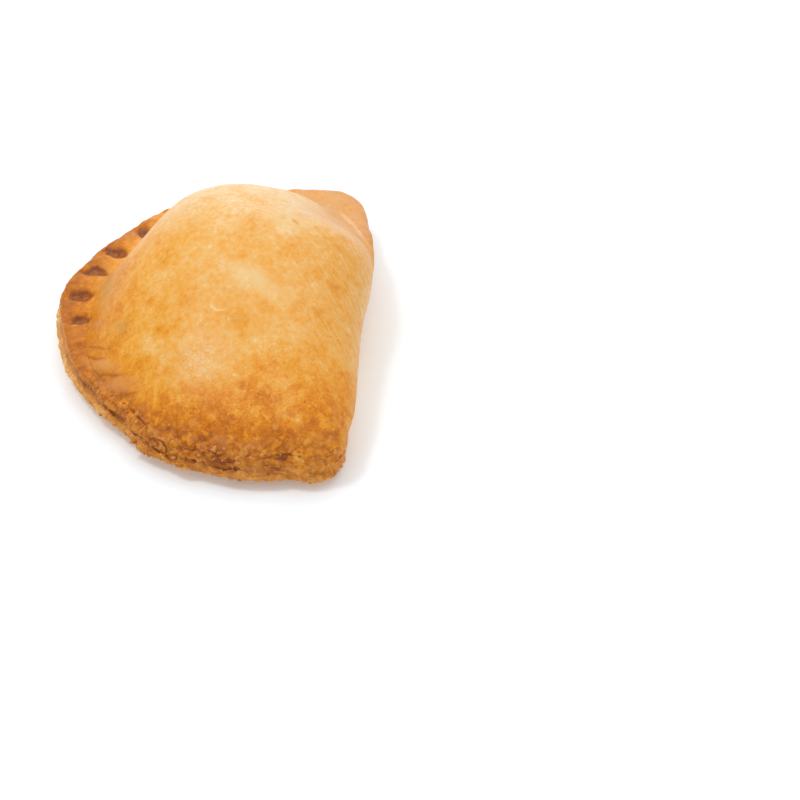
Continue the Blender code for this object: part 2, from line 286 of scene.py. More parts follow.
def smooth_through(knots, values, at):
    """A smooth curve through knots and values that overshoots none of them."""
    knots = np.asarray(knots, dtype=float)
    values = np.asarray(values, dtype=float)
    slopes = np.diff(values) / np.diff(knots)
    before = np.append(slopes[0], slopes)
    after = np.append(slopes, slopes[-1])
    turning = before * after <= 0.0
    tangents = np.where(turning, 0.0, 2.0 * before * after / np.where(turning, 1.0, before + after))
    row = np.clip(np.searchsorted(knots, at, side="right") - 1, 0, len(slopes) - 1)
    span = np.diff(knots)[row]
    share = (at - knots[row]) / span
    rest = 1.0 - share
    start = values[row] * (1.0 + 2.0 * share) * rest**2
    end = values[row + 1] * (1.0 + 2.0 * rest) * share**2
    return start + end + (tangents[row] * rest - tangents[row + 1] * share) * share * rest * span


def round_the_rim(angles, values, angle):
    """A smooth curve through values at angles in degrees, taken round the closed rim."""
    knots = [a + turn for turn in (-360, 0, 360) for a in angles]
    return smooth_through(knots, tuple(values) * 3, angle)


def section(name, angle):
    return round_the_rim(SECTION_ANGLES, SECTIONS[name], angle)


def plan_table(count):
    """Points on the outline, closer together on the rim: ray, slant and distance along it."""
    step_x = np.diff(outline_x, append=outline_x[0])
    step_y = np.diff(outline_y, append=outline_y[0])
    steps = np.hypot(step_x, step_y)
    along = np.concatenate([[0.0], np.cumsum(steps)])
    closed_x = np.append(outline_x, outline_x[0])
    closed_y = np.append(outline_y, outline_y[0])
    density = 1.0 + (RIM_DENSITY - 1.0) * ramp(0.0, -FOLD_REACH, outline_y)
    crowding = np.concatenate([[0.0], np.cumsum(steps * density)])
    distance = np.interp(np.arange(count) / count * crowding[-1], crowding, along)
    ahead = (distance + TANGENT_REACH) % along[-1]
    behind = (distance - TANGENT_REACH) % along[-1]
    tangent_x = np.interp(ahead, along, closed_x) - np.interp(behind, along, closed_x)
    tangent_y = np.interp(ahead, along, closed_y) - np.interp(behind, along, closed_y)
    ray_x = np.interp(distance, along, closed_x) - TOP_X
    ray_y = np.interp(distance, along, closed_y) - TOP_Y
    radius = np.hypot(ray_x, ray_y)
    facing = np.abs(ray_x * tangent_y - ray_y * tangent_x) / radius
    facing = facing / np.hypot(tangent_x, tangent_y)
    angle = np.degrees(np.arctan2(ray_y, ray_x)) % 360.0
    return {
        "ray_x": ray_x / radius,
        "ray_y": ray_y / radius,
        "radius": radius + round_the_rim(*zip(*RIM_CHANGES), angle) * MM,
        "slant": np.maximum(facing, LEAST_SLANT),
        "angle": angle,
        "distance": distance,
    }


SEGMENTS = 560
plan = plan_table(SEGMENTS)
print(SEGMENTS, "segments, rim spacing", round(np.diff(plan["distance"]).min() / MM, 2), "mm")

# %% [markdown]
# ## Rings from the top to the base
# A sphere with many segments and rings already has the right make: one closed skin with two poles.
# So each of its rings is given a place on the pasty: some over the dome, many round the thin edge
# where the torn layers show, and a few under the base. No faces need to be listed by hand.

# %% Profile of each ring
HEIGHT = 33.5 * MM
TOP_ROUND_X = 42.5 * MM
TOP_ROUND_Y = 28.0 * MM
ROUND_FADE = 2.2
SHOULDER_POWER = 6.0
EDGE_ROUND = 2.0 * MM
LIFT_REACH = 19.0 * MM
LIFT_POWER = 0.7
# The edge's steps: share of the flange's flat width, inset, extra inset of the crease, height
RIM_EDGE = (
    (1.00, 2.0, 0.0, 10.6), (0.86, 2.0, 0.0, 10.6), (0.66, 2.0, 0.0, 10.5),
    (0.46, 2.0, 0.0, 10.4), (0.26, 2.0, 0.0, 10.2), (0.08, 1.9, 0.0, 9.9),
    (0.0, 1.6, 0.2, 9.3), (0.0, 1.1, 0.6, 8.3), (0.0, 0.9, 1.2, 7.2),
    (0.0, 0.9, 2.0, 6.3), (0.0, 0.5, 0.7, 5.6), (0.0, 0.1, 0.0, 4.7),
    (0.0, 0.2, 0.0, 3.5), (0.0, 1.2, 0.0, 2.7), (0.0, 6.0, 0.0, 2.0),
    (0.0, 12.0, 0.0, 1.1), (0.0, 19.0, 0.0, 0.0), (0.0, 26.0, 0.0, 0.0),
)
# The fold's wall by the same steps: inset, and height as a share of the foot
FOLD_EDGE = (
    (0.0, 1.00), (0.0, 0.96), (0.0, 0.92), (0.1, 0.87), (0.2, 0.81),
    (0.4, 0.73), (0.7, 0.63), (1.3, 0.52), (2.0, 0.42), (2.5, 0.33),
    (2.8, 0.25), (2.8, 0.18), (2.6, 0.11), (2.8, 0.05), (4.2, 0.0),
    (9.0, 0.0), (15.0, 0.0), (22.0, 0.0),
)
DOME_RINGS = 82
FLANGE_RINGS = 26
TORN_RINGS = 50
UNDER_RINGS = 10
BASE_RINGS = 6
TORN_BEGINS = 5.0
TORN_ENDS = 13.0
LAST_STEP = len(RIM_EDGE) - 1
EDGE_STEPS = np.concatenate(
    [
        np.linspace(0.0, TORN_BEGINS, FLANGE_RINGS, endpoint=False)[1:],
        np.linspace(TORN_BEGINS, TORN_ENDS, TORN_RINGS, endpoint=False),
        np.linspace(TORN_ENDS, LAST_STEP, UNDER_RINGS),
    ]
)
RINGS = DOME_RINGS + len(EDGE_STEPS) + BASE_RINGS + 1


def ring_profile(plan):
    """Radius and height of every ring, and the step of the edge that it stands for."""
    angle = plan["angle"]
    radius = plan["radius"]
    slant = plan["slant"]
    fold = ramp(*FOLD_BEGINS, angle) * (1.0 - ramp(*FOLD_ENDS, angle))
    flange = np.maximum(section("flange", angle) * MM, EDGE_ROUND * (1.0 - fold))
    foot = section("foot", angle) * MM
    lift = section("lift", angle) * MM
    parting = section("parting", angle)
    softness = section("soft", angle) * MM
    roundness = section("round", angle)
    steepness = section("steep", angle)
    thickness = foot - lift
    above = HEIGHT - foot
    soft_top = np.hypot(above, softness) - softness
    dome_radius = radius - flange / slant
    top_round = 1.0 / np.hypot(plan["ray_x"] / TOP_ROUND_X, plan["ray_y"] / TOP_ROUND_Y)
    radii, heights, steps = [], [], []
    for ring in range(DOME_RINGS + 1):
        share = math.sin(math.pi / 2.0 * ring / DOME_RINGS)
        keep = share**ROUND_FADE
        radii.append(share * (dome_radius * keep + top_round * (1.0 - keep)))
        fall = roundness * share**2 + (1.0 - roundness) * share**SHOULDER_POWER
        rise = above * np.maximum(1.0 - fall, 0.0) ** (1.0 / steepness)
        heights.append(foot + (np.hypot(rise, softness) - softness) * above / soft_top)
        steps.append(0.0)
    knots = np.arange(len(RIM_EDGE))
    rim_columns = np.array(RIM_EDGE).T
    fold_columns = np.array(FOLD_EDGE).T
    flat = np.maximum(flange - EDGE_ROUND, 0.0)
    for step in EDGE_STEPS:
        width_share, inset, parted, height = (smooth_through(knots, c, step) for c in rim_columns)
        rim_inset = width_share * flat + (inset + parted * parting) * MM
        raised = np.clip(1.0 - rim_inset / LIFT_REACH, 0.0, 1.0) ** LIFT_POWER
        rim_height = height / RIM_EDGE[0][3] * thickness + lift * raised
        fold_inset, fold_share = (smooth_through(knots, c, step) for c in fold_columns)
        radii.append(radius - (rim_inset * (1.0 - fold) + fold_inset * MM * fold) / slant)
        heights.append(rim_height * (1.0 - fold) + fold_share * foot * fold)
        steps.append(step)
    base_radius = radii[-1]
    for ring in range(1, BASE_RINGS + 2):
        radii.append(base_radius * (1.0 - ring / (BASE_RINGS + 1.0)))
        heights.append(np.zeros_like(base_radius))
        steps.append(float(LAST_STEP))
    return np.array(radii), np.array(heights), np.array(steps), fold


radii, heights, edge_step, fold_share = ring_profile(plan)
print(RINGS, "rings,", 2 * SEGMENTS * (RINGS - 1), "triangles")

# %% [markdown]
# ## Dents of the pressed rim
# The layers were sealed by pressing a finger every centimetre or so. Each press leaves a small oval
# basin with a ridge of dough on each side. The dents are lowered before the normals are taken, so
# that finer relief follows their walls.

# %% Dents
# Angle in degrees, in millimetres the inset of the middle, depth, half length and half width; tint,
# the strength of the dent's painted shade and of its lip's painted highlight
DENTS = (
    (178, 7.0, 0.9, 3.0, 2.4, 0.0), (193, 6.8, 1.7, 3.0, 2.4, 0.5),
    (210, 6.6, 2.0, 3.1, 2.4, 0.6), (227, 6.4, 2.3, 3.1, 2.2, 0.85),
    (246.5, 6.0, 2.4, 3.2, 2.2, 1.0), (261.5, 6.2, 2.5, 3.1, 2.2, 1.0),
    (277.5, 6.4, 2.5, 2.8, 2.2, 1.0), (292, 6.2, 2.0, 2.7, 1.9, 0.9),
    (307, 5.6, 0.9, 3.2, 1.5, 0.25), (318, 5.2, 0.6, 3.2, 1.5, 0.10),
    (330, 4.8, 0.5, 2.8, 1.6, 0.10),
)
# The skin that bridges a dent leaves it a little shallower than the press
DENT_SHARE = 0.78
BASIN_SHARE = 0.6
TROUGH_REACH = 1.15
THREE_LOBES = 0.12
FIVE_LOBES = 0.08
# How far the painted shade lies from the middle, and the place and size of the lip's painted
# highlight, in half widths and lengths
TINT_SHIFT = 0.12
LIP_PLACE = 0.85
LIP_WIDTH = 0.45
LIP_LENGTH = 0.9
inset = (plan["radius"] - radii) * plan["slant"]
on_top = (np.arange(RINGS + 1) <= DOME_RINGS + FLANGE_RINGS)[:, None]
dent = np.zeros_like(heights)
dent_lip_highlight = np.zeros_like(heights)
dent_depth = np.zeros_like(heights)
for angle, middle, deep, half_length, half_width, tint in DENTS:
    start = plan["distance"][np.argmin(np.abs(plan["angle"] - angle))]
    across = (plan["distance"] - start) / (half_width * MM)
    lengthwise = (inset - middle * MM) / (half_length * MM)
    turned = np.arctan2(across, lengthwise)
    uneven = 1.0 + THREE_LOBES * np.sin(3.0 * turned + angle)
    uneven += FIVE_LOBES * np.sin(5.0 * turned - angle)
    basin = bump_at(np.hypot(across, lengthwise) * uneven, 1.0, 3.0)
    trough = bump_at(across, TROUGH_REACH) * bump_at(lengthwise, TROUGH_REACH, 4.0)
    dent_depth += DENT_SHARE * deep * MM * (BASIN_SHARE * basin + (1.0 - BASIN_SHARE) * trough)
    # Painted shade in the dent, a little off its middle, and a painted highlight on one lip
    tinted = bump_at(np.hypot(across + TINT_SHIFT, lengthwise) * uneven, 1.0, 3.0)
    dent = np.maximum(dent, tint * tinted)
    on_lip = bump_at(np.hypot((across - LIP_PLACE) / LIP_WIDTH, lengthwise / LIP_LENGTH), 1.0)
    dent_lip_highlight = np.maximum(dent_lip_highlight, tint * on_lip)
heights -= dent_depth * on_top
dent *= on_top
dent_lip_highlight *= on_top
print(len(DENTS), "dents, deepest", round(dent_depth.max() / MM, 1), "mm")

# %% [markdown]
# ## The skin's normals
# Relief such as crumbs and blisters stands off the surface, not straight up. The normal of each
# place on the grid comes from its neighbours along the ring and across it.


# %% Places and normals on the grid
def grid_places(radii, heights):
    x = TOP_X + plan["ray_x"] * radii
    y = TOP_Y + plan["ray_y"] * radii
    return np.stack([x, y, heights], axis=-1)


def grid_normals(places):
    """Outward normals of the grid, with the two poles set upright."""
    around = np.roll(places, -1, axis=1) - np.roll(places, 1, axis=1)
    down = np.gradient(places, axis=0)
    normals = np.cross(down, around)
    normals /= np.maximum(np.linalg.norm(normals, axis=-1, keepdims=True), 1e-12)
    normals[0] = (0.0, 0.0, 1.0)
    normals[-1] = (0.0, 0.0, -1.0)
    return normals


places = grid_places(radii, heights)
normals = grid_normals(places)
print("middle of the dome faces", [round(float(v), 2) for v in normals[10, 0]])

# %% [markdown]
# ## Relief of a baked crust
# Dough tears, swells and dries as it bakes. The slow swell of the dome, the crags of the torn rim,
# the crumbs where the near end was roughened and the open pores of the lower layer are noise of
# different sizes, each kept to its own place by a mask. Soft noise gives lumps and waves, and cell
# noise gives crumbs with creases between them.


# %% Noise over the grid
MASK_FLOOR = 0.004
CELL_RIM = 0.42


def noise_over(function, places, size, where, shift):
    """The function's value at each place where the mask lets it be seen, and 0 elsewhere."""
    values = np.zeros(where.size)
    chosen = np.flatnonzero(where.ravel() > MASK_FLOOR)
    points = (places.reshape(-1, 3)[chosen] / size + shift).tolist()
    values[chosen] = [function(point) for point in points]
    return values.reshape(where.shape)


def soft_noise(places, size, where, shift=0.0):
    """Soft noise between about -1 and 1."""
    return noise_over(noise.noise, places, size, where, shift)


def gap_between_cells(point):
    nearest, second = noise.voronoi(point)[0][:2]
    return min(1.0, (second - nearest) / CELL_RIM)


def cell_noise(places, size, where, shift=0.0):
    """Rounded lumps: 1 in the middle of a cell and 0 in the crease between two."""
    return ease(noise_over(gap_between_cells, places, size, where, shift))


# %% Where each kind of surface lies
top_x_mm = (places[..., 0] - TOP_X) / MM
top_y_mm = (places[..., 1] - TOP_Y) / MM
inset_mm = inset / MM
step_at = np.broadcast_to(edge_step[:, None], heights.shape)
open_rim = 1.0 - np.broadcast_to(fold_share, heights.shape)
parting = np.broadcast_to(section("parting", plan["angle"]), heights.shape)
crumbly = np.broadcast_to(section("crumbly", plan["angle"]), heights.shape)
# Each pair is where a change begins and ends, in millimetres or in steps of the edge
BASE_HEIGHT_MM = (0.3, 1.6)
LOW_WALL_MM = (3.0, 11.0)
CRUMB_INSET_MM = (2.0, 7.0)
TORN_STEPS = (7.2, 9.0)
UNTORN_STEPS = (13.6, 15.5)
LOW_EDGE_STEPS = (9.5, 12.0)
EDGE_REACH_MM = 5.0
above_base = ramp(*BASE_HEIGHT_MM, heights / MM)
near_edge = bump_at(inset_mm, EDGE_REACH_MM)
dome_part = 1.0 - near_edge
torn = ramp(*TORN_STEPS, step_at) * (1.0 - ramp(*UNTORN_STEPS, step_at)) * open_rim
low_edge = ramp(*LOW_EDGE_STEPS, step_at)
low_wall = 1.0 - ramp(*LOW_WALL_MM, heights / MM)
crumb_strip = crumbly * (open_rim + (1.0 - open_rim) * low_wall)
crumb_strip = crumb_strip * (1.0 - ramp(*CRUMB_INSET_MM, inset_mm)) * above_base
print("torn edge covers", int((torn > 0.5).sum()), "vertices")

# %% Swell, crags, crumbs and pores
SWELL_SIZE = 30.0 * MM
SWELL_HEIGHT = 0.7 * MM
CRAG_SIZE = 3.4 * MM
CRAG_HEIGHT = 0.50 * MM
CRAG_RISE = 0.33 * MM
CRAG_FLOOR = 0.45
CRUMB_SIZE = 2.3 * MM
CRUMB_HEIGHT = 0.52 * MM
SMALL_CRUMB_SIZE = 1.0 * MM
SMALL_CRUMB_HEIGHT = 0.20 * MM
LUMP_SIZE = 4.6 * MM
LUMP_HEIGHT = 0.6 * MM
PORE_SIZE = 1.4 * MM
PORE_DEPTH = 0.22 * MM
DENT_GRIT_SIZE = 1.5 * MM
DENT_GRIT_HEIGHT = 0.35 * MM
PORE_FLATNESS = 1.7
WAVE_SIZE = 6.5 * MM
WAVE_HEIGHT = 0.22 * MM
# Fine crags are this much smaller and lower than the coarse ones
FINE_CRAG_SIZE = CRAG_SIZE / 2.3
FINE_CRAG_SHARE = 0.5
SHAKE_SIZE = 1.6 * MM
SHAKE_REACH = 0.7 * MM
CRUMB_CHANGE_SIZE = 4.0 * MM
CRUMB_CHANGE = 0.6
CRUMB_MEAN = 0.75
CRUMB_LEVEL = 0.45
SMALL_CRUMB_LEVEL = 0.5
# What the lower layer keeps of the small crumbs, and what its edge loses of both kinds
TORN_SHARE = 0.4
EDGE_CRUMB_LOSS = 0.2
EDGE_SMALL_CRUMB_LOSS = 0.3

crag_mask = open_rim * near_edge * (CRAG_FLOOR + parting) * above_base
wave_mask = open_rim * near_edge * above_base
# The last number of each call only shifts the noise, so that no two of them look alike
crag = soft_noise(places, CRAG_SIZE, crag_mask)
crag += FINE_CRAG_SHARE * soft_noise(places, FINE_CRAG_SIZE, crag_mask, 7.0)
crag_turned = soft_noise(places[..., [2, 0, 1]], CRAG_SIZE, crag_mask)
shaken = places + SHAKE_REACH * soft_noise(places, SHAKE_SIZE, crumb_strip, 4.0)[..., None]
crumb_change = CRUMB_CHANGE * soft_noise(places, CRUMB_CHANGE_SIZE, crumb_strip, 3.0)
crumbs = cell_noise(shaken, CRUMB_SIZE, crumb_strip) * (CRUMB_MEAN + crumb_change)
small_crumbs = cell_noise(places, SMALL_CRUMB_SIZE, crumb_strip + torn, 5.0)
pores = 1.0 - cell_noise(places * (1.0, 1.0, PORE_FLATNESS), PORE_SIZE, torn, 9.0)
wave = soft_noise(places, WAVE_SIZE, wave_mask, 11.0)
swell = soft_noise(places, SWELL_SIZE, dome_part)
lumps = soft_noise(places, LUMP_SIZE, crumb_strip, 13.0)
dent_grit = soft_noise(places, DENT_GRIT_SIZE, dent, 17.0)
crumb_height = CRUMB_HEIGHT * crumb_strip * (1.0 - EDGE_CRUMB_LOSS * low_edge)
small_height = SMALL_CRUMB_HEIGHT * np.maximum(crumb_strip, TORN_SHARE * torn)
small_height = small_height * (1.0 - EDGE_SMALL_CRUMB_LOSS * low_edge)
lift_along_normal = (
    crumb_height * (crumbs - CRUMB_LEVEL)
    + LUMP_HEIGHT * crumb_strip * lumps
    + DENT_GRIT_HEIGHT * dent * dent_grit
    + small_height * (small_crumbs - SMALL_CRUMB_LEVEL)
    - PORE_DEPTH * torn * above_base * pores
    + WAVE_HEIGHT * wave_mask * wave
)
outward = CRAG_HEIGHT * crag_mask * crag
print("crumbs stand", round(float(lift_along_normal.max()) / MM, 2), "mm proud")

# %% [markdown]
# ## Crease between the two layers
# The upper layer of dough ends a little short of the lower one, and a crease runs between them,
# darkened with painted shade. The crease wanders, closes up where the layers stuck together and
# opens where they parted.

# %% Crease
CREASE_STEP = 8.9
CREASE_HALF_WIDTH = 0.62
CREASE_DEPTH = 0.8 * MM
CREASE_WANDER = 0.35
WANDER_SIZE = 9.0 * MM
OPEN_SIZE = 5.0 * MM
OPEN_MEAN = 0.75
OPEN_CHANGE = 0.9
OPEN_LEAST, OPEN_MOST = 0.15, 1.2
rim_line = places[DOME_RINGS + FLANGE_RINGS][None] * (1.0, 1.0, 0.0)
crease_step = CREASE_STEP + CREASE_WANDER * soft_noise(rim_line, WANDER_SIZE, open_rim[:1], 2.0)
crease_open = OPEN_MEAN + OPEN_CHANGE * soft_noise(rim_line, OPEN_SIZE, open_rim[:1], 6.0)
crease_open = np.clip(crease_open, OPEN_LEAST, OPEN_MOST)
crease = bump_at(step_at - crease_step, CREASE_HALF_WIDTH) * open_rim * parting * crease_open
lift_along_normal -= CREASE_DEPTH * crease
print("crease runs along", int((crease.max(axis=0) > 0.4).sum()), "of", SEGMENTS, "segments")

# %% [markdown]
# ## Blisters, flakes, folds and pinholes
# Steam lifts small round blisters in the egg-washed skin, and some of them burst into flat flakes
# with a sharp rim. The fingers that sealed the rim left narrow folds beside the dents, and two
# small pits stand where steam broke through. Each of these is an oval by its place, its size and
# its turn, seen from above, because an oval is quick to measure and its outline can be made uneven
# with noise.

# %% Ovals on the crust
# In millimetres from the dome's top: x, y, half length, half width; turn in degrees; and last the
# rise
FLAKES = (
    (43.6, -18.1, 1.5, 1.1, 32, 0.22), (52.5, 4.2, 1.3, 0.75, 81, 0.16),
    (55.9, -1.0, 1.2, 0.5, 82, 0.18), (52.8, 17.0, 0.7, 0.45, -89, 0.16),
    (52.8, 20.8, 1.0, 0.5, 86, 0.14), (53.5, 23.4, 1.1, 0.6, 82, 0.10),
    (49.9, 31.3, 1.5, 0.8, -52, 0.10), (56.2, 27.9, 1.1, 0.55, -85, 0.16),
    (59.3, 24.6, 1.1, 0.7, -84, 0.45), (60.2, 14.7, 1.0, 0.7, -89, 0.30),
    (15.5, -35.5, 1.6, 0.7, 60, 0.20),
)
FOLDS = (
    (26.1, -27.8, 5.4, 0.45, 49, -0.22), (22.9, -32.3, 1.2, 0.80, -55, -0.25),
    (29.0, -27.6, 5.0, 0.40, 55, -0.18), (35.7, -22.4, 4.4, 0.40, 61, -0.22),
    (41.9, -16.8, 2.8, 0.40, 67, -0.20), (32.1, -25.3, 5.9, 1.10, 56, 0.30),
    (39.2, -19.4, 5.5, 1.30, 65, 0.30), (24.0, -30.3, 3.6, 0.90, 47, 0.25),
    (27.5, -29.6, 3.6, 0.90, 52, 0.25), (28.0, 3.1, 2.1, 1.6, 80, 0.14),
)
PINHOLES = (
    (-1.6, 14.4, 1.5, 1.1, 17, -0.28), (-0.9, 17.6, 1.5, 0.7, 43, -0.30),
)


def oval(x, y, half_length, half_width, turn):
    """Distance from an oval's middle seen from above, where 1 is its edge."""
    cosine, sine = math.cos(math.radians(turn)), math.sin(math.radians(turn))
    away_x, away_y = top_x_mm - x, top_y_mm - y
    along = away_x * cosine + away_y * sine
    across = away_y * cosine - away_x * sine
    return np.hypot(along / half_length, across / half_width)


TOP_LAYER_STEP = 7.5
UNEVEN_SIZE = 1.6 * MM
UNEVEN_SHARE = 0.30
upper_side = (step_at < TOP_LAYER_STEP).astype(float)
uneven = UNEVEN_SHARE * soft_noise(places, UNEVEN_SIZE, upper_side, 19.0)


def ovals_of(table, wavy, reach, power=2.0, where=upper_side):
    """The last number of each row, and its oval with a wavy outline: 1 inside and 0 outside."""
    for *shape, last in table:
        yield last, bump_at(oval(*shape) + wavy * uneven, reach, power) * where


def strongest(table, *how, **where):
    """The last number of the strongest oval at each place, fading with the oval."""
    found = np.zeros_like(heights)
    for strength, spot in ovals_of(table, *how, **where):
        found = np.maximum(found, strength * spot)
    return found


flake = np.zeros_like(heights)
pinhole = np.zeros_like(heights)
for rise, spot in ovals_of(FLAKES, 1.0, 0.95, 6.0):
    lift_along_normal += rise * MM * spot
    flake = np.maximum(flake, spot)
for rise, spot in ovals_of(FOLDS, 0.5, 1.0):
    lift_along_normal += rise * MM * spot
for rise, spot in ovals_of(PINHOLES, 0.5, 0.8):
    lift_along_normal += rise * MM * spot
    pinhole = np.maximum(pinhole, spot)
print(len(FLAKES), "flakes,", len(FOLDS), "folds and", len(PINHOLES), "pinholes")

# %% [markdown]
# ## Spots of the bake
# A crust is never browned evenly. Where the skin stood a little proud, or where more egg gathered,
# it went darker, and where flour clung it stayed pale. The spots that the eye notices are ovals
# again, and each moves the browning up or down. The fine mottling between them is left to the
# material.

# %% Browned, pale, pinkish and rusty spots, and olive spots of painted shade
# As above, and last how much browner each spot is
BAKED_SPOTS = (
    (15.5, 28.4, 2.6, 1.7, -26, 0.16), (24.9, 26.6, 2.4, 1.7, -49, 0.16),
    (21.7, 32.0, 2.9, 1.3, -23, 0.14), (31.6, -10.7, 2.1, 1.0, 57, 0.14),
    (37.1, -12.4, 2.4, 0.9, 58, 0.12), (33.0, 8.3, 2.1, 1.2, 70, 0.14),
    (46.5, 10.8, 2.1, 0.8, 89, 0.16), (26.5, -4.9, 3.0, 1.5, 57, 0.10),
    (12.6, -11.1, 4.2, 2.2, 43, 0.10), (16.5, -19.5, 2.4, 1.3, 28, 0.12),
    (48.7, 16.1, 3.4, 1.3, 87, 0.16), (41.5, 19.6, 2.3, 1.4, 90, 0.12),
    (-5.8, 18.0, 1.8, 1.4, 13, 0.14), (54.5, 27.1, 1.3, 1.0, -86, 0.12),
    (55.5, 31.6, 1.7, 0.7, -59, 0.16), (55.9, 19.5, 1.1, 0.7, 87, 0.10),
    (58.9, 25.0, 1.5, 0.6, -80, 0.12), (53.5, -5.3, 2.4, 0.6, 66, 0.20),
    (47.7, -13.2, 2.0, 0.7, 54, 0.14), (56.0, 3.2, 2.0, 0.7, -88, 0.18),
    (23.7, 3.9, 2.4, 1.0, 69, 0.08), (10.1, -1.9, 3.7, 1.8, 68, 0.08),
    (2.5, 7.5, 2.9, 1.9, 82, 0.08), (19.3, -22.9, 2.8, 1.1, 27, 0.08),
    (35.2, 24.9, 2.1, 1.6, -55, 0.12), (20.8, 10.6, 6.2, 2.2, 67, -0.12),
    (3.2, 16.7, 2.3, 1.3, -81, -0.14), (38.8, 11.3, 1.6, 0.9, 82, -0.14),
    (36.6, 12.9, 2.1, 1.2, -89, -0.10), (42.7, 0.5, 4.9, 2.7, -81, -0.08),
    (36.0, -2.7, 2.0, 1.1, 75, -0.08), (33.8, -13.6, 3.9, 1.4, 51, -0.06),
    (9.0, 2.0, 11.0, 9.0, 0, -0.08), (43.0, 8.0, 9.0, 6.0, 90, -0.08),
    (51.0, -1.0, 8.0, 4.5, 90, 0.08), (44.0, 31.0, 9.0, 5.0, 0, 0.08),
    (50.0, -15.0, 7.0, 3.0, 60, -0.06), (59.0, 6.0, 4.5, 1.4, 90, 0.09),
    (60.0, 21.0, 5.0, 1.6, 90, -0.12), (57.0, -8.0, 3.5, 1.4, 80, 0.10),
    (50.5, -21.5, 3.5, 1.6, 60, 0.09),
)
# As above, and last how strong the tint is
PINK_SPOTS = (
    (32.1, -25.3, 5.9, 1.1, 56, 0.7), (39.2, -19.2, 5.5, 1.5, 66, 0.6),
    (18.8, -28.7, 4.0, 0.8, 39, 0.5), (57.4, 7.2, 1.9, 0.9, 84, 0.5),
)
PALE_SPOTS = (
    (20.8, 10.6, 6.6, 2.9, 67, 1.0), (-1.6, 15.4, 4.0, 5.5, 0, 0.8),
)
# Olive spots of painted shade in the valley between the dome and the pressed rim
VALLEY_SHADE_SPOTS = (
    (3.8, -29.0, 9.5, 2.1, 12, 0.6), (26.1, -21.2, 3.0, 1.4, 44, 0.45),
)
RUST_SPOTS = (
    (56.4, 29.7, 3.6, 0.9, -72, 0.5), (57.9, 16.4, 2.6, 0.8, -78, 0.4),
    (58.1, 6.6, 2.1, 0.9, 84, 0.6), (52.9, -8.2, 2.4, 0.6, 62, 0.5),
    (59.6, 9.7, 3.1, 0.5, 81, 0.5), (55.2, 24.9, 1.8, 0.8, 89, 0.4),
    (51.2, -12.7, 4.8, 0.9, 45, 0.4), (60.5, 13.9, 5.4, 1.0, 89, 0.5),
    (59.0, 1.2, 3.3, 0.9, 73, 0.4),
)
SPOT_SHARE = 0.8
baked_spots = sum(SPOT_SHARE * browner * spot for browner, spot in ovals_of(BAKED_SPOTS, 1.3, 1.1))
pink = strongest(PINK_SPOTS, 1.0, 1.0, 3.0)
pale = strongest(PALE_SPOTS, 0.8, 1.0, 3.0)
valley_shade = strongest(VALLEY_SHADE_SPOTS, 1.0, 1.1)
rust = strongest(RUST_SPOTS, 1.2, 1.2, where=1.0)
print(len(BAKED_SPOTS), "spots, up to", round(float(baked_spots.max()), 2), "browner")

# %% [markdown]
# ## From a sphere to the crust
# The sphere's vertices are told apart by their ring and segment, and each goes to its place on the
# grid. The two poles become the top of the dome and the middle of the base.

# %% Build the crust
ON_BASE = 0.05 * MM
JUST_ABOVE_BASE = 0.02 * MM
finished = places + normals * lift_along_normal[..., None]
finished[..., 0] += plan["ray_x"] * outward
finished[..., 1] += plan["ray_y"] * outward
finished[..., 2] += CRAG_RISE * crag_mask * crag_turned + SWELL_HEIGHT * swell * dome_part
off_table = np.maximum(finished[..., 2], JUST_ABOVE_BASE)
finished[..., 2] = np.where(heights > ON_BASE, off_table, 0.0)
finished += np.array(PLAN_PLACE)

sphere = bmesh.new()
bmesh.ops.create_uvsphere(sphere, u_segments=SEGMENTS, v_segments=RINGS, radius=1.0)
directions = np.array([vertex.co for vertex in sphere.verts])
crust_data = bpy.data.meshes.new("crust")
sphere.to_mesh(crust_data)
sphere.free()
ring_of = np.rint(np.arccos(np.clip(directions[:, 2], -1.0, 1.0)) / math.pi * RINGS).astype(int)
turn_of = np.arctan2(directions[:, 1], directions[:, 0]) / (2.0 * math.pi)
segment_of = np.rint(turn_of * SEGMENTS).astype(int) % SEGMENTS
crust_data.vertices.foreach_set("co", finished[ring_of, segment_of].ravel())
crust_data.update()
crust_data.shade_smooth()
crust = bpy.data.objects.new("crust", crust_data)
scene.collection.objects.link(crust)
print("crust has", sum(len(face.vertices) - 2 for face in crust_data.polygons), "triangles")

# %% [markdown]
# ## What the oven did, as attributes
# A crust browns where it is thin, where it is high and where sugar and egg gathered. That is a
# matter of place, so it is stored on the vertices: how baked each place is, where a finger pressed
# it, where the raw layers show, how deep it lies. Some of these numbers carry painted light: shade
# in the crease, the dents, the valley and the hollows, and sheen and highlights on the egg wash and
# edges. The material reads these numbers and adds the fine mottling.

# %% Attributes for the material
near_slope = ramp(30.0, 58.0, top_x_mm)
open_side = ramp(-38.0, -20.0, top_x_mm)
fold_side = ramp(8.0, 36.0, top_y_mm)
rim_side = ramp(-10.0, -32.0, top_y_mm)
far_corner = ramp(90.0, 120.0, plan["angle"]) * ramp(190.0, 166.0, plan["angle"])
far_flap = far_corner * ramp(28.0, 10.0, inset_mm) * ramp(-2.0, 4.0, inset_mm)
under = ramp(12.5, 14.0, step_at)
rim_brown = bump_at(inset_mm, 7.6, 3.0) * open_rim
rim_brown = rim_brown * (0.3 + 0.7 * open_side) * (1.0 - 0.75 * near_slope)
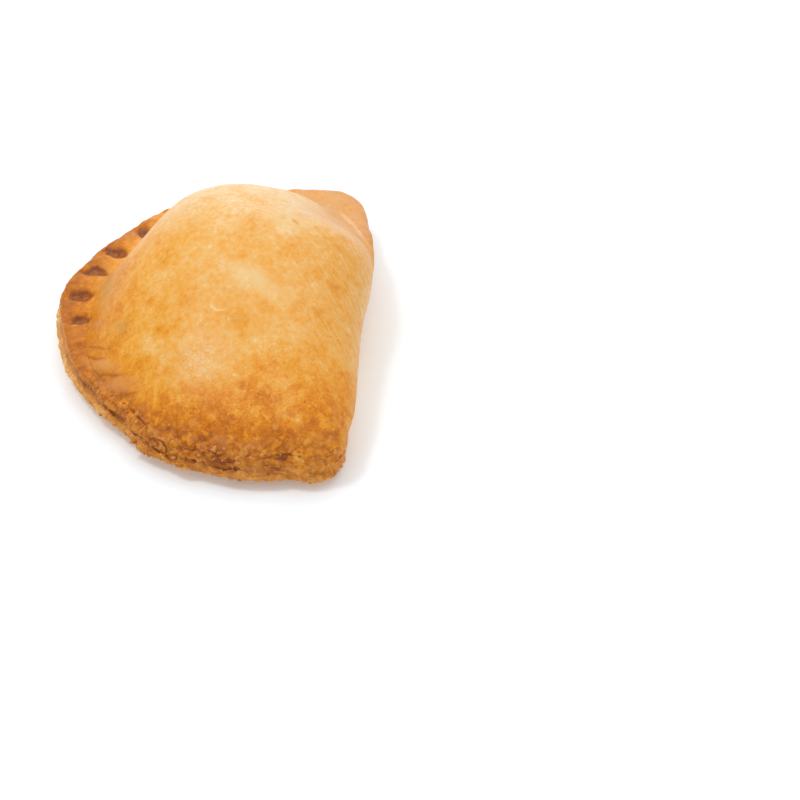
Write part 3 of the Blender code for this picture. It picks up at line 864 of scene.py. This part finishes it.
# How much browner each region is than the plain dough
PLAIN_DOUGH = 0.30
UNDER_LOSS = 0.2
baked = PLAIN_DOUGH + baked_spots
for browner, region in (
    (0.23, near_slope),
    (0.03, ramp(50.0, 62.0, top_x_mm) * (1.0 - fold_side)),
    (0.40, rim_brown * (1.0 - 0.7 * torn)),
    (0.16, far_corner * bump_at(inset_mm, 3.0)),
    # Paler on the fold side: painted sheen
    (-0.05, fold_side),
    # Browner on the rim's side of the dome, partly browner crust and partly painted shade
    (0.19, rim_side * (1.0 - rim_brown)),
    # Paler towards the far top of the dome: painted sheen
    (-0.16, ramp(8.0, -16.0, top_x_mm) * (1.0 - rim_brown) * (1.0 - fold_side)),
    (-0.16, flake),
):
    baked = baked + browner * region
baked = baked * (1.0 - UNDER_LOSS * under)
# A pale line along the upper layer's edge on the rim's side: painted highlight
LIP_STEP = 6.1
edge_highlight = bump_at(step_at - LIP_STEP, 0.5) * rim_side * parting * open_rim
# Painted sheen and glint of the egg wash, strongest at one spot below the dome's middle.
# In millimetres from the dome's top: x, y, reach along x and y; strength; and power of the edge
SHEEN_GLINT_SPOTS = (
    (22.0, 6.0, 14.0, 20.0, 0.18, 4.0),
    (40.0, 0.5, 6.0, 6.5, 0.7, 2.0),
    (-14.0, 3.0, 20.0, 24.0, 0.75, 4.0),
)
painted_sheen_glint = np.zeros_like(heights)
for x, y, reach_x, reach_y, strength, power in SHEEN_GLINT_SPOTS:
    away = np.hypot((top_x_mm - x) / reach_x, (top_y_mm - y) / reach_y)
    painted_sheen_glint = np.maximum(painted_sheen_glint, strength * bump_at(away, 1.0, power))
# The crease's painted shade is darkest at the near corner
crease_shade_strength = 0.3 + 0.7 * ramp(304.0, 320.0, plan["angle"])
crease_shade_strength = np.maximum(crease_shade_strength, ramp(30.0, 20.0, plan["angle"]))
# How far each place stands out or sinks in: the material paints shade in hollows and paler raised
# relief
OUTWARD_SHARE = 0.6
depth_sign = lift_along_normal / MM + OUTWARD_SHARE * outward / MM
attributes = {
    "baked": baked,
    "dent": dent,
    "dent_lip_highlight": dent_lip_highlight,
    "torn": torn,
    "crease": np.clip(crease * crease_shade_strength, 0.0, 1.0),
    "crumbly": crumb_strip,
    "relief_shade": np.clip(depth_sign, -1.0, 1.0),
    "pale": pale,
    "flake": flake,
    "pink": pink,
    "valley_shade": valley_shade,
    "rust": rust,
    "inward": ramp(4.5, 9.0, inset_mm),
    "pinhole": pinhole,
    "painted_sheen_glint": painted_sheen_glint * upper_side,
    "flap": far_flap,
    # The fold side carries the streaks and, in the material, a painted sheen
    "side": fold_side * (0.3 + 0.7 * ramp(60.0, 20.0, top_x_mm)),
    "edge_highlight": edge_highlight,
    "near": near_slope * (1.0 - torn),
}
for name, values in attributes.items():
    layer = crust_data.attributes.new(name, "FLOAT", "POINT")
    layer.data.foreach_set("value", values[ring_of, segment_of].astype(np.float32))
print("attributes:", ", ".join(attributes))

# %% [markdown]
# ## Baked shortcrust with egg wash
# The dough is pale by itself. The egg wash browns through yellow and orange to a dark sugar brown,
# and leaves a thin uneven gloss. The pressed dents are painted purple-brown as painted shade in
# their hollows, and the torn layers had none, so they stay tan and dull. A colour ramp gives the
# browning, and noise of four real sizes moves it a little up and down: blotches of 7 mm, spots of 3
# mm, mottles of 1.3 mm and grains of 0.5 mm. Tints for what isn't a matter of browning then lie
# over it, one layer after the other; several of them are painted shade and painted highlights.

# %% Crust material
PALE_CREAM = "#F3D29E"
LIGHT_GOLD = "#EEB661"
GOLD = "#EBA12D"
DEEP_GOLD = "#DF8908"
ORANGE_BROWN = "#C27004"
RIM_BROWN = "#A75A10"
DARK_BROWN = "#77400F"
DENT_PURPLE = "#7E4832"
DENT_RUST = "#94501F"
TORN_TAN = "#F3C37D"
TORN_BROWN = "#DB9A52"
CREASE_SHADE_BROWN = "#7A4220"
GREY_CREAM = "#EACB92"
FLAP_TAN = "#D79B62"
FLAKE_GOLD = "#E2A048"
SEAM_SHADE_BROWN = "#8A4216"
RUST = "#B56426"
EGG_ORANGE = "#FFF0BC"
CRUMB_TAN = "#CB8238"
CRACK_OCHRE = "#CC8B1A"
CRACK_GOLD = "#DB9414"
PIT_TAN = "#D9A660"
SHEEN_GLINT_CREAM = "#EFDFBE"
PINK_TAN = "#DC9A5A"
VALLEY_SHADE_OLIVE = "#C9954A"
FOLD_SHADE_BROWN = "#A2560F"
SHEEN_LINE_CREAM = "#F4D2A6"
BLOTCH_SIZE_MM = 7.0
SPOT_SIZE_MM = 3.2
MOTTLE_SIZE_MM = 1.3
FLECK_SIZE_MM = 1.0
PATCH_SIZE_MM = 2.6
GRAIN_SIZE_MM = 0.45
CELL_SIZE_MM = 1.3
STREAK_WIDTH_MM = 0.7
STREAK_LENGTH = 12.0
STREAK_DEPTH = 6.0
STREAK_TURN = math.radians(38.0)
DASH_WIDTH_MM = 0.6
DASH_LENGTH = 5.0
SHAKE_SIZE_MM = 2.0
SHAKE_SHARE = 0.0015
FLAKE_CELL_MM = 3.2
# Where a crack opens in the streaks, and how wide
CRACK_LEVEL = 0.56
CRACK_HALF_WIDTH = 0.012
# So tall that a mark seen from above reaches down through the whole crust
FLAT_SCALE = 100.0
EGG_IOR = 1.24
EGG_COAT = 0.22
EGG_COAT_ROUGHNESS = 0.28
CRUST_ROUGHNESS = 0.48
# In millimetres from the dome's top: x, y, half length, half width; and turn in degrees
RING_BLISTER = (28.0, 3.1, 2.2, 1.7, 80)
# An oval a little off the blister's middle; the rim left outside it gets the painted highlight
RING_INSIDE = (27.5, 3.5, 2.1, 1.65, 80)
CRACKS = (
    (-0.9, 17.6, 1.45, 0.40, 43), (-1.3, 22.4, 0.68, 0.40, -88),
    (1.5, 29.1, 1.29, 0.24, 37), (7.0, 27.1, 0.52, 0.30, 52),
    (8.5, 28.7, 0.96, 0.20, 38), (12.8, 31.3, 1.98, 0.16, 43),
    (12.7, 35.0, 0.89, 0.17, 14), (23.9, 33.4, 1.47, 0.18, 40),
    (39.1, -1.8, 0.27, 0.21, 64), (26.1, -20.6, 0.35, 0.16, 41),
    (34.6, -4.8, 0.19, 0.14, 48),
)
# Dark lines of painted shade in the seams between the layers at the near end
SEAM_SHADE_LINES = (
    (55.9, -7.0, 4.9, 0.25, 53), (58.0, 0.4, 4.0, 0.22, 71),
    (60.1, 8.0, 3.7, 0.30, 80), (59.3, 20.7, 4.1, 0.28, -80),
    (48.8, -13.0, 3.0, 0.25, 40),
)
# Painted sheen: pale streaks along the crease of the far flap
SHEEN_LINES = (
    (-32.1, 26.8, 5.2, 0.70, 31), (-24.5, 30.3, 4.6, 0.70, 22),
)


def new_material(name):
    """A new material, its node tree, its shader and the place on the object."""
    material = bpy.data.materials.new(name)
    material.use_nodes = True
    tree = material.node_tree
    place = add_node(tree, "ShaderNodeTexCoord").outputs["Object"]
    return material, tree, tree.nodes["Principled BSDF"], place


def noise_node(tree, place, size_mm, detail, rough=0.5, distortion=0.0):
    values = {"Scale": 1.0 / (size_mm * MM), "Detail": detail}
    values.update({"Roughness": rough, "Distortion": distortion})
    return add_node(tree, "ShaderNodeTexNoise", values=values, links={"Vector": place})


def colour_ramp(tree, factor, stops):
    """Colours by position, from the first stop to the last."""
    node = add_node(tree, "ShaderNodeValToRGB", links={"Fac": factor})
    ends = node.color_ramp.elements
    ends[0].position, ends[0].color = stops[0][0], linear(stops[0][1])
    ends[1].position, ends[1].color = stops[-1][0], linear(stops[-1][1])
    for position, colour in stops[1:-1]:
        ends.new(position).color = linear(colour)
    return node.outputs["Color"]


def bump_on(tree, height, strength, depth_mm, normal=None):
    values = {"Strength": strength, "Distance": depth_mm * MM}
    node = add_node(tree, "ShaderNodeBump", values=values, links={"Height": height})
    if normal is not None:
        tree.links.new(normal, node.inputs["Normal"])
    return node.outputs["Normal"]


def crust_material():
    material, tree, shader, place = new_material("shortcrust_egg_washed")

    def attribute(name):
        return add_node(tree, "ShaderNodeAttribute", {"attribute_name": name}).outputs["Fac"]

    def speckle(size_mm, detail, rough=0.55, distortion=0.0, at=place):
        return noise_node(tree, at, size_mm, detail, rough, distortion).outputs["Fac"]

    def fill(node, given):
        """Links each socket or sets its value, a text being a hex colour."""
        for socket, value in given.items():
            if isinstance(value, (int, float)):
                node.inputs[socket].default_value = value
            elif isinstance(value, str):
                node.inputs[socket].default_value = linear(value)
            elif value is not None:
                tree.links.new(value, node.inputs[socket])
        return node

    def math_of(operation, a, b=None, c=None, clamp=False):
        node = add_node(tree, "ShaderNodeMath", {"operation": operation, "use_clamp": clamp})
        return fill(node, {0: a, 1: b, 2: c}).outputs[0]

    def times(a, b):
        return math_of("MULTIPLY", a, b)

    def mix_colours(factor, a, b, blend="MIX"):
        node = add_node(tree, "ShaderNodeMix", {"data_type": "RGBA", "blend_type": blend})
        return fill(node, {0: factor, 6: a, 7: b}).outputs[2]

    def stretch(value, low, high, to_low=0.0, to_high=1.0):
        """The value from low to high, turned over to the new ends along a smooth step."""
        return add_node(
            tree,
            "ShaderNodeMapRange",
            {"interpolation_type": "SMOOTHSTEP"},
            {"From Min": low, "From Max": high, "To Min": to_low, "To Max": to_high},
            {"Value": value},
        ).outputs["Result"]

    def mapped(scale, turn=0.0, middle=(0.0, 0.0, 0.0)):
        """The place as seen from the middle, turned back and divided by the scale."""
        values = {"Location": middle, "Rotation": (0.0, 0.0, turn), "Scale": scale}
        settings = {"vector_type": "TEXTURE"}
        return add_node(tree, "ShaderNodeMapping", settings, values, {"Vector": place}).outputs[0]

    def cells_of(size_mm, at=place):
        values = {"Scale": 1.0 / (size_mm * MM)}
        cells = add_node(tree, "ShaderNodeTexVoronoi", {"feature": "F1"}, values, {"Vector": at})
        return cells.outputs["Color"], cells.outputs["Distance"]

    def oval_mark(x, y, half_length, half_width, turn):
        """Distance from an oval's middle seen from above, 1 at its edge, with a wavy outline."""
        middle = Vector((TOP_X + x * MM, TOP_Y + y * MM, 0.0)) + PLAN_PLACE
        scale = (half_length * MM, half_width * MM, FLAT_SCALE)
        settings = {"operation": "LENGTH"}
        centred = mapped(scale, math.radians(turn), middle)
        away = add_node(tree, "ShaderNodeVectorMath", settings, links={0: centred})
        return math_of("ADD", away.outputs["Value"], wobble)

    def marks(shapes):
        """The strongest of these marks at each place."""
        found = 0.0
        for shape in shapes:
            found = math_of("MAXIMUM", found, stretch(oval_mark(*shape), 1.3, 0.5))
        return found

    # Where each kind of surface lies
    baked, dent, torn = attribute("baked"), attribute("dent"), attribute("torn")
    crumbly, relief_shade, crease = attribute("crumbly"), attribute("relief_shade"), attribute("crease")
    side, near, inward = attribute("side"), attribute("near"), attribute("inward")
    upper = math_of("SUBTRACT", 1.0, torn)
    dull = math_of("MAXIMUM", torn, crumbly)
    flaky = math_of("MAXIMUM", near, crumbly)
    egg_washed = times(near, math_of("SUBTRACT", 1.0, crumbly))
    # The pressed rim is smooth, so the fine grain is weaker there
    grainy = math_of("MAXIMUM", inward, dull)

    # Patterns
    blotch = speckle(BLOTCH_SIZE_MM, 3.0)
    spots = speckle(SPOT_SIZE_MM, 4.0, 0.6, 0.4)
    mottle = speckle(MOTTLE_SIZE_MM, 4.0, 0.65)
    grain = speckle(GRAIN_SIZE_MM, 2.0)
    around_mean = math_of("SUBTRACT", mottle, 0.5)
    wobble = times(around_mean, 0.5)
    along_streaks = mapped((STREAK_LENGTH, 1.0, STREAK_DEPTH), STREAK_TURN)
    streaks = speckle(STREAK_WIDTH_MM, 3.0, 0.6, at=along_streaks)
    dashes = speckle(DASH_WIDTH_MM, 3.0, 0.6, at=mapped((1.0, DASH_LENGTH, 1.0)))
    shake = noise_node(tree, place, SHAKE_SIZE_MM, 2.0).outputs["Color"]
    bent = add_node(
        tree, "ShaderNodeMix", {"data_type": "VECTOR"}, {0: SHAKE_SHARE}, {4: place, 5: shake}
    ).outputs[1]
    cell_shade, from_middle = cells_of(CELL_SIZE_MM, bent)
    # Painted highlight on the middle of each crumb, and painted shade in the gaps between them
    crumb_top_highlight = times(crumbly, stretch(from_middle, 0.55, 0.20))
    crumb_gap_shade = times(crumbly, stretch(from_middle, 0.50, 0.80))
    # Pale flecks over the dome, partly painted glints of the egg wash
    flecks_and_glints = speckle(FLECK_SIZE_MM, 4.0, 0.7, 0.6)
    flecks_and_glints = times(stretch(flecks_and_glints, 0.53, 0.66), stretch(spots, 0.64, 0.40))
    flecks_and_glints = times(flecks_and_glints, math_of("MULTIPLY_ADD", side, -0.8, 1.0))
    patches = speckle(PATCH_SIZE_MM, 4.0, 0.6, 0.6)
    patches = times(stretch(patches, 0.52, 0.60), flaky)
    flake_shade, from_flake = cells_of(FLAKE_CELL_MM)
    flake_edge = math_of("MULTIPLY_ADD", mottle, 0.60, from_flake)
    flake_edge = math_of("MULTIPLY_ADD", flake_shade, -0.42, flake_edge)
    scattered = times(stretch(flake_edge, 0.36, 0.26), flaky)
    flakes = math_of("MAXIMUM", scattered, attribute("flake"))

    # Each pattern moves the browning up and down from its mean, by its share
    browning = baked
    for pattern, share in (
        (blotch, 0.34),
        (spots, 0.34),
        (mottle, 0.44),
        (grain, math_of("MULTIPLY_ADD", grainy, 0.22, 0.12)),
        (streaks, times(side, 0.50)),
        (cell_shade, math_of("MULTIPLY_ADD", crumbly, 0.14, 0.06)),
        (dashes, times(egg_washed, 0.17)),
    ):
        shift = math_of("SUBTRACT", pattern, 0.5)
        browning = math_of("MULTIPLY_ADD", shift, share, browning)
    for pattern, share in ((crumb_gap_shade, 0.10), (flecks_and_glints, -0.14), (patches, -0.17)):
        browning = math_of("MULTIPLY_ADD", pattern, share, browning)
    # Painted shade: darker where the surface sinks in, paler where it stands out
    browning = math_of("MULTIPLY_ADD", relief_shade, -0.14, browning, clamp=True)
    stops = (
        (0.0, PALE_CREAM),
        (0.2, LIGHT_GOLD),
        (0.36, GOLD),
        (0.5, DEEP_GOLD),
        (0.65, ORANGE_BROWN),
        (0.8, RIM_BROWN),
        (1.0, DARK_BROWN),
    )
    colour = colour_ramp(tree, browning, stops)

    # Shapes and colours of the tints
    cracks = math_of("COMPARE", streaks, CRACK_LEVEL, CRACK_HALF_WIDTH)
    cracks = times(cracks, times(side, stretch(spots, 0.50, 0.62)))
    ring_disc = stretch(oval_mark(*RING_BLISTER), 1.15, 0.75)
    ring_inside = stretch(oval_mark(*RING_INSIDE), 1.10, 0.85)
    # A pale crescent on one side of the blister's rim: painted highlight
    ring_highlight = math_of("SUBTRACT", ring_disc, ring_inside, clamp=True)
    # Each fold that is pressed in carries a line of painted shade, a little narrower than the fold
    fold_shade_lines = [(*shape[:3], 0.75 * shape[3], shape[4]) for *shape, rise in FOLDS if rise < 0.0]
    # The dents' painted shade: purple-brown, rustier further in from the edge, with an orange floor
    rusty = math_of("ADD", inward, math_of("SUBTRACT", spots, 0.5))
    dent_wavy = math_of("MULTIPLY_ADD", around_mean, 0.55, dent)
    dent_floor = times(stretch(dent_wavy, 0.62, 0.95), stretch(grain, 0.40, 0.60))
    dent_colour = mix_colours(stretch(rusty, 0.35, 0.75), DENT_PURPLE, DENT_RUST)
    dent_colour = mix_colours(times(dent_floor, 0.7), dent_colour, ORANGE_BROWN)
    torn_colour = mix_colours(stretch(mottle, 0.40, 0.66), TORN_TAN, TORN_BROWN)
    # Painted shade in the pores of the torn layer
    torn_colour = mix_colours(stretch(relief_shade, -0.02, -0.30), torn_colour, TORN_BROWN)
    not_crumbly = math_of("MULTIPLY_ADD", times(crumbly, crumbly), -0.75, 0.97)

    # The tints from the lowest to the highest: where each lies, how strong it is, and its colour
    tints = (
        (times(attribute("flap"), stretch(spots, 0.65, 0.35, 0.35, 0.75)), 1.0, FLAP_TAN),
        # Painted sheen on the fold side
        (side, 0.22, FLAP_TAN),
        (times(egg_washed, stretch(blotch, 0.30, 0.60, 0.3, 0.8)), 1.0, EGG_ORANGE, "MULTIPLY"),
        (times(attribute("pale"), stretch(mottle, 0.34, 0.60)), 0.7, GREY_CREAM),
        (attribute("pinhole"), 0.7, PIT_TAN),
        # Painted sheen and glint of the egg wash, broken up by the grain
        (times(attribute("painted_sheen_glint"), stretch(grain, 0.42, 0.66)), 0.75, SHEEN_GLINT_CREAM),
        # Painted highlight on crumb tops
        (crumb_top_highlight, 0.42, PINK_TAN),
        (times(attribute("pink"), stretch(mottle, 0.30, 0.62, 0.4, 1.0)), 1.0, PINK_TAN),
        # Painted shade in the valley
        (attribute("valley_shade"), 1.0, VALLEY_SHADE_OLIVE),
        (attribute("rust"), 1.0, RUST),
        (cracks, 0.45, CRACK_OCHRE),
        (scattered, 0.40, FLAKE_GOLD),
        (ring_disc, 0.35, GOLD),
        # Painted highlight on the blister's rim
        (ring_highlight, 0.6, PALE_CREAM),
        (marks(fold_shade_lines), 0.50, FOLD_SHADE_BROWN),
        (times(marks(CRACKS), upper), 0.55, CRACK_GOLD),
        # Painted sheen along the far flap's crease
        (times(marks(SHEEN_LINES), upper), 0.40, SHEEN_LINE_CREAM),
        # Painted highlight on a dent's lip, then the dent's painted shade
        (attribute("dent_lip_highlight"), 0.55, PINK_TAN),
        (stretch(dent_wavy, 0.10, 0.65), 0.9, dent_colour),
        (times(torn, not_crumbly), 1.0, torn_colour),
        # Painted shade in the seams
        (times(marks(SEAM_SHADE_LINES), stretch(spots, 0.35, 0.50, 0.5, 0.9)), 1.0, SEAM_SHADE_BROWN),
        # Painted highlight along the upper layer's edge
        (attribute("edge_highlight"), 0.2, TORN_TAN),
        # Painted shade in the crease
        (crease, 0.9, CREASE_SHADE_BROWN),
    )
    for where, strength, tint, *blend in tints:
        colour = mix_colours(times(where, strength), colour, tint, *blend)
    tree.links.new(colour, shader.inputs["Base Color"])

    rough = math_of("MULTIPLY_ADD", around_mean, 0.30, CRUST_ROUGHNESS)
    rough = math_of("MULTIPLY_ADD", dull, 0.16, rough, clamp=True)
    tree.links.new(rough, shader.inputs["Roughness"])

    # What stands off the skin: strength, and depth in millimetres
    normal = None
    for height, strength, depth_mm in (
        (grain, 0.5, 0.16),
        (mottle, 0.5, 0.30),
        (times(streaks, side), 0.5, 0.30),
        (flecks_and_glints, 0.5, 0.10),
        (patches, 0.5, 0.12),
        (flakes, 0.6, 0.15),
        (times(from_middle, flaky), 0.3, -0.15),
    ):
        normal = bump_on(tree, height, strength, depth_mm, normal)
    tree.links.new(normal, shader.inputs["Normal"])
    tree.links.new(bump_on(tree, grain, 0.4, 0.2), shader.inputs["Coat Normal"])
    shader.inputs["IOR"].default_value = EGG_IOR
    shader.inputs["Coat Weight"].default_value = EGG_COAT
    shader.inputs["Coat Roughness"].default_value = EGG_COAT_ROUGHNESS
    return material


crust_data.materials.append(crust_material())
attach(crust, "root")
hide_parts("empanadilla")
print("crust material:", crust_data.materials[0].name)

# %% [markdown]
# ## Loose crumbs
# Where the near end tore, grains of dough came off and baked fast to the rim. They are small
# separate lumps, so they catch light and throw shadows as relief cannot. Each is a small sphere
# that is squeezed, turned and pushed half into the crust. One thin flake stands out of the edge at
# the left.

# %% Crumbs
CRUMB_COUNT = 200
SMALLEST_CRUMB = 0.18 * MM
CRUMB_SPREAD = 0.46 * MM
CRUMB_FLATNESS = 0.55
CRUMB_SEED = 11
CRUMB_UNEVEN = 0.35
CRUMB_UNEVEN_SIZE = 0.45 * MM
CRUMB_SHAPES = (0.7, 1.4)
CRUMB_LEAN = 0.3
# Crumbs lie where the strip is at least this crumbly, above the underside and near the edge
CRUMBLY_ENOUGH = 0.55
CRUMB_LAST_STEP = 13.2
CRUMB_FROM_EDGE_MM = 3.8
EDGE_FLAKE_ANGLE = 344.5
EDGE_FLAKE_STEP = 10.6
EDGE_FLAKE_SIZE = (1.2 * MM, 0.8 * MM, 0.30 * MM)
EDGE_FLAKE_RISE = 0.15
EDGE_FLAKE_OUT = 0.5 * MM

rng = np.random.default_rng(CRUMB_SEED)
crumbs_lie = (crumb_strip > CRUMBLY_ENOUGH) & (step_at < CRUMB_LAST_STEP)
crumb_rings, crumb_segments = np.nonzero(crumbs_lie & (inset_mm < CRUMB_FROM_EDGE_MM))
chosen = rng.choice(len(crumb_rings), CRUMB_COUNT, replace=False)
lumps_mesh = bmesh.new()


def add_lump(place, size, turn):
    """One uneven lump: a small sphere, squeezed and turned."""
    shape = Matrix.LocRotScale(Vector(place), turn, Vector(size))
    made = bmesh.ops.create_icosphere(lumps_mesh, subdivisions=2, radius=1.0, matrix=shape)
    for vertex in made["verts"]:
        away = vertex.co - shape.translation
        vertex.co += away * CRUMB_UNEVEN * noise.noise(vertex.co / CRUMB_UNEVEN_SIZE)


for ring, segment in zip(crumb_rings[chosen], crumb_segments[chosen]):
    radius = SMALLEST_CRUMB + CRUMB_SPREAD * rng.random() ** 2
    size = radius * rng.uniform(*CRUMB_SHAPES, 3) * (1.0, 1.0, CRUMB_FLATNESS)
    leaning = normals[ring, segment] + rng.normal(0.0, CRUMB_LEAN, 3)
    add_lump(finished[ring, segment], size, Vector(leaning).to_track_quat("Z", "Y"))
flake_ring = int(np.argmin(np.abs(edge_step - EDGE_FLAKE_STEP)))
flake_segment = int(np.argmin(np.abs(plan["angle"] - EDGE_FLAKE_ANGLE)))
flake_out = Vector((plan["ray_x"][flake_segment], plan["ray_y"][flake_segment], EDGE_FLAKE_RISE))
flake_place = Vector(finished[flake_ring, flake_segment]) + flake_out * EDGE_FLAKE_OUT
add_lump(flake_place, EDGE_FLAKE_SIZE, flake_out.to_track_quat("X", "Z"))
crumb_data = bpy.data.meshes.new("crumbs")
lumps_mesh.to_mesh(crumb_data)
lumps_mesh.free()
crumb_data.shade_smooth()
crumbs_piece = bpy.data.objects.new("crumbs", crumb_data)
scene.collection.objects.link(crumbs_piece)
print(CRUMB_COUNT, "crumbs,", len(crumb_data.polygons), "triangles")

# %% [markdown]
# ## Toasted crumbs
# The crumbs had no egg wash, so they are dull, and the smallest browned through. Their colour
# changes from one to the next, so one noise is as large as a crumb and a second one roughens each.

# %% Crumb material
CRUMB_TINT_MM = 2.2
CRUMB_GRAIN_MM = 0.4
CRUMB_ROUGHNESS = 0.55
crumb_material, crumb_tree, crumb_shader, crumb_place = new_material("toasted_dough_crumbs")
crumb_noise = noise_node(crumb_tree, crumb_place, CRUMB_TINT_MM, 4.0).outputs["Fac"]
crumb_stops = ((0.34, RIM_BROWN), (0.48, CRUMB_TAN), (0.64, PINK_TAN))
crumb_colour = colour_ramp(crumb_tree, crumb_noise, crumb_stops)
crumb_grain = noise_node(crumb_tree, crumb_place, CRUMB_GRAIN_MM, 2.0).outputs["Fac"]
crumb_relief = bump_on(crumb_tree, crumb_grain, 0.6, 0.15)
crumb_tree.links.new(crumb_colour, crumb_shader.inputs["Base Color"])
crumb_tree.links.new(crumb_relief, crumb_shader.inputs["Normal"])
crumb_shader.inputs["Roughness"].default_value = CRUMB_ROUGHNESS
crumb_shader.inputs["IOR"].default_value = EGG_IOR
crumb_data.materials.append(crumb_material)
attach(crumbs_piece, "root")
print("crumb material:", crumb_material.name)
